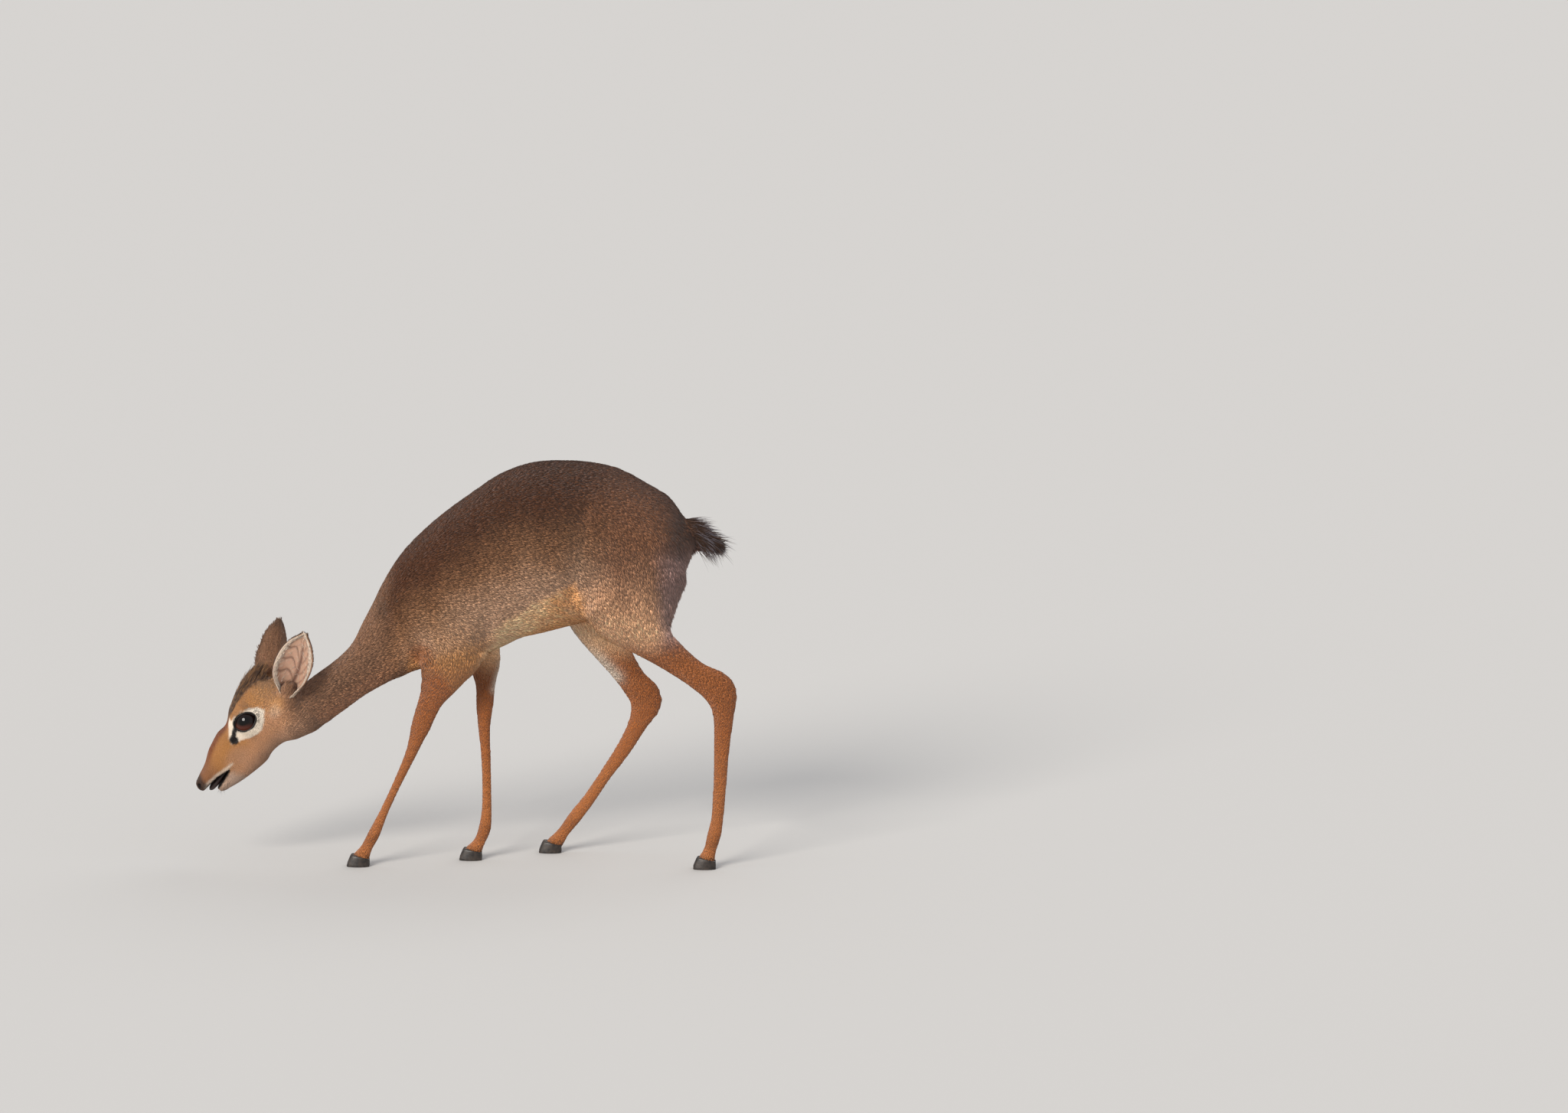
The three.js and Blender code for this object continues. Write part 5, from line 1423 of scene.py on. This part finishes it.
class BuildSkin(Builder):
    """The skin: one closed surface from nose to tail and down to the hooves"""

    bl_idname = "dik_dik.skin"
    bl_label = "Skin"

    UNDER_HAIR = 0.85                # the skin's tone as a share of the hair's

    def execute(self, context):
        held = skin()
        side = charts()[2]
        flesh = [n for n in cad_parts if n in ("torso", "neck", "head", "tail")
                 or n.endswith(("_upper", "_lower", "_cannon", "_pastern"))]
        piece = new_mesh("skin", to_row(held["vertices"]), held["quads"],
                         {"OFBake": held["map"], "Lie": held["map"] * side * MM},
                         self.UNDER_HAIR * skin_paint()[0])
        dress(piece, skin_finish(), "back_coat", *flesh)
        return {"FINISHED"}


class BuildCoat(Builder):
    """The coat of the trunk, neck, head, legs and tail, as solid tufts in pieces"""

    bl_idname = "dik_dik.coat"
    bl_label = "Coat"

    ROUGH = {"back_coat": 0.75, "face_coat": 0.7, "leg_coat": 0.7, "tail_coat": 0.7}
    NECK_START, HAUNCH_START, TAIL_START = -84, 95, 214      # limits of the pieces along x
    # Tufts on a square millimetre
    RIBS, HAUNCH, LEGS, NECK, TAIL = 1.25, 1.4, 1.4, 1.6, 1.6
    FACE = 1.6, 3.5                  # behind the ears and in front of them
    CREST_HAIRS, BRUSH_HAIRS = 1.3, 0.75
    FAR_LEGS, FAR_FACE = 0.2, 0.3    # how much less there is on the right side

    def execute(self, context):
        for slot, rough in self.ROUGH.items():
            coat_finish(f"coat_{slot}", rough)
        held = skin()
        centres = held["centres"]
        x, y, _ = centres.T
        head, leg = face_share(centres) > 0.5, leg_share(centres) > 0.5
        on_tail = share_of(held["shares"][held["quads"][:, 0]], "tail") > 0.5
        tail = on_tail & (x > self.TAIL_START)
        body = ~(head | leg | tail)
        trunk, neck = body & (x >= self.NECK_START), body & (x < self.NECK_START)
        ribs, haunch = trunk & (x < self.HAUNCH_START), trunk & (x >= self.HAUNCH_START)
        fine = mix(*self.FACE, smooth(-22, 14, to_head(centres)[:, 0]))
        full, seed = self.sizes.thickness, self.sizes.seed
        for n, (side, near) in enumerate((("left", y < 0), ("right", y >= 0))):
            parts = [("ribs", "back_coat", ribs, self.RIBS, flat_tuft),
                     ("haunch", "back_coat", haunch, self.HAUNCH, flat_tuft),
                     ("face", "face_coat", head, (1 - self.FAR_FACE * n) * fine, short_tuft),
                     ("legs", "leg_coat", leg, self.LEGS - self.FAR_LEGS * n, short_tuft)]
            for step, (part, slot, where, density, shape) in enumerate(parts):
                coat(f"coat_{part}_{side}", slot, where & near, density * full, shape, seed + 2 * step + n)
        coat("coat_neck", "back_coat", neck, self.NECK * full, flat_tuft, seed + 8)
        coat("coat_tail", "tail_coat", tail, self.TAIL * full, tail_tuft, seed + 9)
        self.crest(seed + 10)
        self.brush(on_tail & (x > self.TAIL_START + 2), seed + 11)
        self.feelers(seed + 12)
        return {"FINISHED"}

    def crest(self, seed):
        """The tuft on the crown: hairs that rise from it and lean back, longest in the middle"""
        rng = np.random.default_rng(seed)
        centres = skin()["centres"]
        along, up, aside = to_head(centres).T
        where = (along > -17) & (along < 30) & (np.abs(aside) < 10) & (up > 37) & (centres[:, 0] < -150)
        grown = sow(where, self.CREST_HAIRS, rng)
        roots, count = grown["roots"], len(grown["roots"])
        along, _, aside = to_head(roots).T
        back, side = -HEAD[0], HEAD[2]
        ways = 0.56 * HEAD[1] + 0.8 * back + np.outer(0.02 * aside, side) + rng.normal(0, 0.06, (count, 3))
        bends = 0.2 * back - 0.26 * HEAD[1] - np.outer(0.016 * aside, side) + rng.normal(0, 0.04, (count, 3))
        full = self.sizes.crest_hair / MM * smooth(11, 5, np.abs(aside))
        length = mix(4, full, smooth(31, 12, along)) * rng.uniform(0.7, 1.05, count)
        tone = colour("crest") * rng.uniform(0.6, 1.35, (count, 1))
        tips = blend(tone * 0.7, colour("ginger"), 0.6 * (rng.random(count) < 0.35))
        hair_piece("coat_crest", "face_coat", *strands(
            roots, ways, bends, length + 2, rng.uniform(0.28, 0.42, count), tone * 0.8, tips, grown["spots"]))

    def brush(self, where, seed):
        """The tail's brush: dark hairs that spread back and down, some with blue-grey tips"""
        rng = np.random.default_rng(seed)
        grown = sow(where, self.BRUSH_HAIRS, rng)
        roots, count = grown["roots"], len(grown["roots"])
        ways = 0.55 * grown["normals"] + np.array([0.75, 0, -0.1]) + rng.normal(0, 0.16, (count, 3))
        bends = np.array([0.1, 0, -0.45]) + rng.normal(0, 0.12, (count, 3))
        length = self.sizes.tail_hair / MM * rng.uniform(0.6, 1.15, count)
        tone = colour("tail") * rng.uniform(0.5, 1.4, (count, 1))
        tips = paint(tone, "wisp", 0.85 * (rng.random(count) < 0.4))
        hair_piece("coat_brush", "tail_coat", *strands(
            roots, ways, bends, length, rng.uniform(0.25, 0.42, count), tone, tips, grown["spots"]))

    LASHES, WHISKERS = 46, 26        # on each side
    FEELER_RADIUS = 0.11

    def feelers(self, seed):
        """Lashes on the upper lids and short dark whiskers on the lips and chin"""
        rng = np.random.default_rng(seed)
        parts = []
        for sign in (-1, 1):
            parts += [self.lashes(sign, rng), self.whiskers(sign, rng)]
        roots, ways, bends, length = (np.concatenate(part) for part in zip(*parts))
        dark = np.tile(colour("dark"), (len(roots), 1))
        spots = np.column_stack([np.linspace(0.02, 0.98, len(roots)), np.full(len(roots), 0.99)])
        hair_piece("lashes", "face_coat", *strands(
            roots, unit(ways), bends, length, np.full(len(roots), self.FEELER_RADIUS), dark, dark, spots))

    def lashes(self, sign, rng):
        """Roots, ways, bends and lengths of one eye's lashes, along its upper lid"""
        _, out, long, high = eye_frame(sign)
        turn = np.linspace(0.12, 0.9, self.LASHES) * math.pi
        wide = LID_OPENING[0] * np.cos(turn)
        roots = on_eye(sign, wide, sign * lid_height(np.cos(turn)), EYE_RADIUS + 0.5)
        ways = 0.8 * out + 0.35 * sign * high + np.outer(0.03 * wide, long)
        ways = ways + rng.normal(0, 0.05, (self.LASHES, 3))
        bends = np.tile(0.35 * sign * high, (self.LASHES, 1))
        return roots, ways, bends, rng.uniform(2.6, 4.4, self.LASHES)

    def whiskers(self, sign, rng):
        """Roots, ways, bends and lengths of one side's whiskers. Each root is where a ray from
        inside the muzzle comes out of it."""
        count = self.WHISKERS
        along = rng.uniform(80, 101, count)
        up = rng.choice([4.5, 18.5], count) + rng.normal(0, 1.2, count)
        away = np.array([0.1, -0.15, sign]) @ HEAD
        start = in_head(np.column_stack([along, up, np.full(count, 3.0 * sign)]))
        ray = start[:, None] + np.arange(0, 18, 0.3)[None, :, None] * unit(away)
        outside = raw_distance(ray.reshape(-1, 3)).reshape(count, -1) + 0.9 > 0
        ways = away + 0.35 * HEAD[0] + rng.normal(0, 0.2, (count, 3))
        bends = np.tile(-0.2 * HEAD[1], (count, 1))
        return ray[np.arange(count), outside.argmax(1)], ways, bends, rng.uniform(6, 12, count)


class BuildEyes(Builder):
    """The eyes, the dark rims of their lids and the tongue"""

    bl_idname = "dik_dik.eyes"
    bl_label = "Eyes"

    BALL_GAP, RIM_GAP = 0.15, 0.3    # how far the ball lies inside the eye's radius and the rim outside it
    RIM_RADIUS, RIM_WIDTH = 0.42, 1.3        # of the rim's bead, and its width as a share of that
    # Along the head: start, middle and end of the tongue, with half its height, half its width and
    # the height of its middle line at each
    TONGUE = [74, 90, 106]
    TONGUE_HIGH, TONGUE_WIDE, TONGUE_LEVEL = [2.2, 3.4, 3.6], [4.5, 5.5, 4], [10.4, 11.2, 10.9]

    def execute(self, context):
        for name, sign in (("left", -1), ("right", 1)):
            self.ball(name, sign)
            self.rim(name, sign)
        self.tongue()
        return {"FINISHED"}

    def ball(self, name, sign):
        """The ball of an eye, raised by a fiftieth over the pupil: a wide dark pupil that lies level, and
        round it a reddish brown on the lower half only, as painted light, the upper half dark as painted
        shade"""
        centre, out, long, high = eye_frame(sign)
        polar = np.linspace(0, math.pi, 49)[1:-1, None]
        turn = circle(72)[None]
        radius = (EYE_RADIUS - self.BALL_GAP) * (1 + 0.02 * np.exp(-(polar / 0.5) ** 2))
        aside = radius * np.sin(polar)
        vertices, faces = closed_loft(centre + (radius * np.cos(polar))[..., None] * out
                                      + (aside * np.cos(turn))[..., None] * long
                                      + (aside * np.sin(turn))[..., None] * high)
        way = unit(vertices - centre)
        wide, above = way @ long, way @ high
        # Painted light: reddish brown on the lower half round the pupil; the upper half stays dark as painted
        # shade
        lit_iris = smooth(0.1, -0.4, way[:, 2]) * smooth(0.9, 0.8, np.hypot(wide, above))
        pupil = smooth(1.35, 0.8, np.hypot(wide / 0.42, (above * sign - 0.08) / 0.27))
        tone = paint(paint(colour("eye"), "lit_iris", lit_iris), "pupil", pupil)
        tone[way @ out < 0] = colour("eye")
        finish = Finish(f"eye_{name}")
        dress(new_mesh(f"eyeball_{name}", to_row(vertices), faces, shades=tone), finish.surface(
            Base_Color=finish.painted(), Roughness=0.07, Specular_IOR_Level=0.24), "eye", f"eye_{name}")

    def rim(self, name, sign):
        """A bead that follows the lids' opening over the ball of the eye"""
        steps, sides = 120, 12
        centre = eye_frame(sign)[0]
        turn = circle(steps)
        above = lid_height(np.cos(turn)) * np.sign(np.sin(turn))
        path = on_eye(sign, LID_OPENING[0] * np.cos(turn), above, EYE_RADIUS + self.RIM_GAP)
        away = unit(path - centre)
        across = np.cross(unit(np.roll(path, -1, axis=0) - np.roll(path, 1, axis=0)), away)
        spin = circle(sides)[None, :, None]
        rings = path[:, None] + self.RIM_RADIUS * (np.cos(spin) * away[:, None]
                                                   + self.RIM_WIDTH * np.sin(spin) * across[:, None])
        vertices = rings.reshape(-1, 3)
        faces = grid_faces(steps + 1, sides, True) % len(vertices)
        finish = Finish(f"lid_{name}")
        wet = finish.noise(1200, 2, finish.object_place())
        dress(new_mesh(f"lid_{name}", to_row(vertices), outward(vertices, faces)), finish.surface(
            Base_Color=(*colour("dark"), 1), Roughness=finish.between(wet, 0.4, 0.6)), "face_coat")

    def tongue(self):
        """The tongue that fills the open mouth, kept very dark as painted shade for the inside of the mouth:
        an oval section along its middle line
        """
        along = np.linspace(self.TONGUE[0], self.TONGUE[-1], 20)
        turn = circle(24)
        full = np.sqrt(1 - np.linspace(-0.95, 0.985, 20) ** 4)
        high, wide, level = (np.interp(along, self.TONGUE, values)[:, None] for values in (
            self.TONGUE_HIGH, self.TONGUE_WIDE, self.TONGUE_LEVEL))
        up, aside = level + full[:, None] * high * np.cos(turn), full[:, None] * wide * np.sin(turn)
        places = np.stack([along[:, None] + 0 * turn, up, aside], axis=-1)
        vertices, faces = closed_loft(in_head(places))
        finish = Finish("tongue")
        wet = finish.noise(700, 3, finish.object_place())
        dress(new_mesh("tongue", to_row(vertices), faces), finish.surface(
            # Very dark as painted shade inside the open mouth
            Base_Color=finish.tint((*colour("tongue"), 1), wet, 0.8, 1.2), Roughness=0.45), "face_coat")


class BuildEars(Builder):
    """The cups of the ears, with veins inside, short hair behind and a fringe on their edges"""

    bl_idname = "dik_dik.ears"
    bl_label = "Ears"

    ROWS, COLUMNS = 60, 48
    SUNK = -0.12                     # where a cup starts, as a share of its length
    VEIN = 0.55                      # how far the veins stand out
    LEAN = 5                         # how far the tip leans back
    # Hair of an ear: the sheet it stands on, 1 for the back and -1 for the inside, number of tufts,
    # length, width, lift, and the shares across between which it grows
    HAIR = [
        [1, 4200, 3.2, 0.5, 0.5, -1.0, 1.0],
        [-1, 130, 6, 0.26, 1.0, -0.8, 0.8],
        [-1, 560, 7, 0.38, 1.3, 0.8, 1.0],
        [-1, 420, 6, 0.38, 1.0, -1.0, -0.8],
    ]

    def sheet(self, name, thick):
        """A leaf-shaped sheet rolled about its length, with raised veins. At a height u and a share
        c across, the angle is the curl times c, and the radius, less the thickness, makes the chord
        twice the half width. The thickness fades to 0.6 of itself at the edges."""
        root, along, opening, across = ear_frame(name)
        u = np.linspace(self.SUNK, 1, self.ROWS)[:, None]
        c = np.linspace(-1, 1, self.COLUMNS)[None]
        slot = np.clip(u, 0, 1) * (len(EAR_HALF_WIDTHS) - 1)
        fine = stations_between(np.column_stack([EAR_HALF_WIDTHS, EAR_HALF_WIDTHS]))[:, 0]
        half = np.interp(slot, np.linspace(0, len(EAR_HALF_WIDTHS) - 1, len(fine)), fine)
        curl = np.radians(mix(EAR_CURL_ROOT, EAR_CURL_TIP, np.minimum(1, 1.5 * np.clip(u, 0, 1)) ** 0.7))
        radius = half / np.sin(np.minimum(curl, math.pi / 2))
        lean = self.LEAN * u * u
        angle = curl * c
        size = radius - (thick - self.VEIN * self.veins(u, c)) * (1 - 0.4 * np.abs(c) ** 6)
        return (root + (u * EAR_LENGTH * np.ones_like(c))[..., None] * along
                + (size * np.sin(angle))[..., None] * across
                + (radius - EAR_ROOT_RADIUS - size * np.cos(angle) - lean)[..., None] * opening), u, c

    def execute(self, context):
        for name in EARS:
            back, u, c = self.sheet(name, 0)
            inside, _, _ = self.sheet(name, EAR_THICK)
            rows, columns = self.ROWS, self.COLUMNS
            vertices, faces = closed_loft(np.concatenate([back, inside[:, ::-1]], axis=1))
            shares = (np.tile(u, 2 * columns), np.tile(np.hstack([c, c[:, ::-1]]), (rows, 1)),
                      np.tile(np.repeat([0.0, 1.0], columns), (rows, 1)))
            tone = self.tones(*(share.ravel() for share in shares))
            tone = np.vstack([tone, tone[:1], tone[-1:]])
            piece = new_mesh(f"ear_cup_{name}", to_row(vertices), faces, shades=tone)
            dress(piece, self.finish(name), "ear_skin", f"ear_{name}")
            self.hair(name, {1: back, -1: inside}, u)
        return {"FINISHED"}

    def finish(self, name):
        """Thin skin that lets a little light through"""
        finish = Finish(f"ear_{name}")
        place = finish.object_place()
        tone = finish.tint(finish.painted(), finish.noise(350, 4, place), 0.8, 1.15)
        return finish.surface(Base_Color=tone, Roughness=0.62, Specular_IOR_Level=0.3,
                              Subsurface_Weight=0.12, Subsurface_Scale=0.004,
                              Normal=finish.bump(finish.noise(900, 3, place), 0.4, 0.0005))

    def veins(self, u, c):
        """How much of a vein lies at each place: one up the middle, and side veins that leave it
        like a leaf's, where the sine of a height less a share of the distance aside is near 0"""
        middle = -0.1 + 0.25 * np.sin(2.6 * u)
        aside = np.abs(c - middle)
        rib = np.exp(-(aside / (0.11 - 0.06 * u)) ** 2) * smooth(0.95, 0.7, u)
        phase = 5.2 * u - 1.5 * aside + 0.35 * np.sin(7 * c)
        side = np.exp(-(np.sin(math.pi * phase) / 0.33) ** 2)
        side = side * smooth(1.0, 0.55, np.abs(c)) * smooth(0.02, 0.2, aside)
        return np.clip(rib + 0.8 * side * smooth(0.98, 0.8, u), 0, 1) * smooth(0.0, 0.12, u)

    def tones(self, u, c, within):
        """Colours at heights u and shares c across: grey-brown behind, dark at the edges and white
        at the lower corners; pinkish inside, with dusky veins and white on the edge in front"""
        behind = paint(colour("ear_back"), "dark", 0.55 * smooth(0.75, 1.0, np.maximum(np.abs(c), u)))
        behind = paint(behind, "ginger", 0.7 * smooth(0.22, 0.0, u))
        behind = paint(behind, "white", 0.7 * smooth(0.3, 0.1, u) * smooth(0.5, 0.8, np.abs(c)))
        cup = paint(colour("ear_inside"), "ear_vein", 0.9 * self.veins(u, c))
        cup = paint(cup, "white", 0.45 * smooth(0.75, 0.98, -c))
        cup = paint(cup, "ear_back", 0.8 * smooth(0.72, 0.98, c))
        cup = paint(cup, "ear_back", 0.7 * smooth(0.84, 0.97, u))
        cup = paint(cup, "ear_vein", 0.85 * smooth(0.2, 0.02, u))
        return blend(behind, cup, within)

    def hair(self, name, sheets, u):
        """Short hair behind the ear, sparse long hair inside it and a fringe on its edges"""
        rng = np.random.default_rng(self.sizes.seed + 40 + len(name))
        parts = []
        for face, count, long, wide, lift, low, high in self.HAIR:
            sheet = sheets[face]
            r = rng.uniform(0.14, 0.99, count) * (self.ROWS - 1)
            k = (rng.uniform(low, high, count) + 1) / 2 * (self.COLUMNS - 1)
            i, j = np.minimum(r.astype(int), self.ROWS - 2), np.minimum(k.astype(int), self.COLUMNS - 2)
            here = sheet[i, j]
            rise, step = sheet[i + 1, j] - here, sheet[i, j + 1] - here
            roots = here + rise * (r - i)[:, None] + step * (k - j)[:, None]
            up = unit(rise)
            out = unit(np.cross(up, step)) * face
            share_c = k / (self.COLUMNS - 1) * 2 - 1
            share_u = np.interp(r, np.arange(self.ROWS), u[:, 0])
            lean = np.sign(share_c) * (0.5 if face > 0 else -0.8)
            tone = self.tones(share_u, share_c, np.full(count, float(face < 0)))
            tone = paint(tone, "white", np.full(count, 0.6 * (face < 0)))
            spots = np.stack([0.5 + 0.225 * share_c + 0.25 * face, 0.05 + 0.9 * share_u], axis=1)
            long, wide, lift, grizzle = (np.full(count, size) for size in (long, wide, lift, 0.5))
            parts.append(tufts(roots, out, up + unit(step) * lean[:, None], long, wide, lift, tone, grizzle,
                               spots, rng, 0.3))
        points, faces, corners, tones = joined(parts)
        piece = new_mesh(f"ear_hair_{name}", to_row(points), faces, {"OFBake": corners}, tones)
        dress(piece, coat_finish(f"coat_ear_{name}", 0.7), "ear_skin")


class BuildHooves(Builder):
    """Two hooves of horn on each foot"""

    bl_idname = "dik_dik.hooves"
    bl_label = "Hooves"

    # Each ring of a hoof from the sole to the top: how far it is drawn in, and its share of the height
    RINGS = [
        [0.16, 0], [0.06, 0], [0.0, 0.06], [0.02, 0.14], [0.1, 0.22], [0.25, 0.34], [0.4, 0.46],
        [0.55, 0.58], [0.7, 0.7], [0.85, 0.8], [1.0, 0.88], [1.25, 0.94], [1.7, 0.98], [2.4, 1.0],
    ]
    OVER_TOP = 0.6                   # how far the horn reaches above the solid's top

    def execute(self, context):
        finish = Finish("horn")
        place = finish.object_place()
        growth = finish.noise(1800, 3, finish.stretched(place, (0.15, 0.15, 1.0)))
        stops = [(0.35, colour("hoof")), (0.7, colour("hoof_worn"))]
        tone = finish.node("ShaderNodeValToRGB", {"stops": stops}, {"Fac": finish.noise(240, 4, place)})
        horn = finish.surface(Base_Color=tone, Roughness=finish.between(growth, 0.3, 0.55),
                              Normal=finish.bump(growth, 0.35, 0.0004))
        for name, (x, y, sign) in FEET.items():
            for part, side in (("outer", sign), ("inner", -sign)):
                node = f"{name}_hoof_{part}"
                vertices, faces = closed_loft(self.rings(x, y, side))
                dress(new_mesh(f"{node}_horn", to_row(vertices), faces), horn, "hoof", node)
        return {"FINISHED"}

    def rings(self, foot_x, foot_y, side):
        """A pointed oval on the ground that narrows, moves back and slopes towards its rounded top"""
        drawn, level = np.array(self.RINGS).T[..., None]
        turn = circle(48)[None]
        toe = np.maximum(np.cos(turn), 0) ** 1.5
        wide = HOOF_WIDTH / 2 * np.sin(turn) * (1 - 0.25 * toe) * (1 - 0.06 * drawn)
        x = foot_x - np.cos(turn) * HOOF_LENGTH / 2 * (1 - 0.2 * drawn) + 2.2 * drawn
        y = foot_y + side * (HOOF_CLEFT + HOOF_WIDTH) / 2 + wide
        top = HOOF_TOP + self.OVER_TOP - HOOF_TOP_SLOPE * (x - foot_x)
        return np.stack([x, y, top * level], axis=-1)


class BuildStage(Builder):
    """Floor, soft light and the camera"""

    bl_idname = "dik_dik.stage"
    bl_label = "Stage"

    CAMERA = (296.99, -8504.70, 1808.83)
    LENS, AZIMUTH, ELEVATION = 196.21, -0.186, 9.972
    FLOOR_REACH = 30                 # metres from the middle to each edge
    SKY, SKY_STRENGTH = (0.93, 0.95, 1.0, 1), 0.74
    # Lights: the way towards each, how many degrees wide it is, its strength and its colour
    LAMPS = {
        "key": [(-0.44, -0.75, 0.46), 26, 3.3, (1.0, 0.955, 0.89)],
        "rim": [(0.5, 0.5, 0.7), 40, 0.5, (1.0, 0.98, 0.95)],
    }

    def execute(self, context):
        scene = context.scene
        scene.view_settings.view_transform = "Standard"
        corners = self.FLOOR_REACH * np.array([[-1, -1, 0], [1, -1, 0], [1, 1, 0], [-1, 1, 0]])
        floor = new_mesh("floor", corners, np.array([[0, 1, 2, 3]]))
        floor.data.materials.append(Finish("floor").surface(
            Base_Color=(*colour("floor"), 1), Roughness=0.9, Specular_IOR_Level=0.1))
        world = scene.world = bpy.data.worlds.new("studio")
        world.use_nodes = True
        sky = world.node_tree.nodes["Background"].inputs
        sky["Color"].default_value, sky["Strength"].default_value = self.SKY, self.SKY_STRENGTH
        for name, given in self.LAMPS.items():
            self.lamp(name, *given)
        data = bpy.data.cameras.new("camera")
        data.lens, data.sensor_width = self.LENS, 36
        data.clip_start, data.clip_end = 0.1, 100
        camera = bpy.data.objects.new("camera", data)
        camera.location = to_row(np.array(self.CAMERA))
        camera.rotation_euler = (math.radians(90 - self.ELEVATION), 0, math.radians(self.AZIMUTH))
        scene.collection.objects.link(camera)
        scene.camera = camera
        return {"FINISHED"}

    def lamp(self, name, way, wide, power, tone):
        """A far soft light that shines from the given way"""
        data = bpy.data.lights.new(name, "SUN")
        data.angle, data.energy, data.color = math.radians(wide), power, tone
        lamp = bpy.data.objects.new(name, data)
        lamp.rotation_euler = (math.atan2(math.hypot(way[0], way[1]), way[2]), 0,
                               math.atan2(way[1], way[0]) + math.pi / 2)
        bpy.context.scene.collection.objects.link(lamp)


OPERATORS = (BuildStage, BuildSkin, BuildEyes, BuildEars, BuildHooves, BuildCoat)


class DikDikPanel(bpy.types.Panel):
    """Lists the steps that build the animal"""

    bl_idname = "VIEW3D_PT_dik_dik"
    bl_label = "Dik dik"
    bl_space_type = "VIEW_3D"
    bl_region_type = "UI"
    bl_category = "Dik dik"

    def draw(self, context):
        for operator in OPERATORS:
            self.layout.operator(operator.bl_idname)


CLASSES = (DikDikSizes, DikDikColours, *OPERATORS, DikDikPanel)


def register():
    for each in CLASSES:
        bpy.utils.register_class(each)
    bpy.types.Scene.dik_dik_sizes = PointerProperty(type=DikDikSizes)
    bpy.types.Scene.dik_dik_colours = PointerProperty(type=DikDikColours)


def unregister():
    del bpy.types.Scene.dik_dik_sizes
    del bpy.types.Scene.dik_dik_colours
    for each in reversed(CLASSES):
        bpy.utils.unregister_class(each)


def main():
    register()
    for operator in OPERATORS:
        group, name = operator.bl_idname.split(".")
        getattr(getattr(bpy.ops, group), name)()


if __name__ == "__main__":
    main()
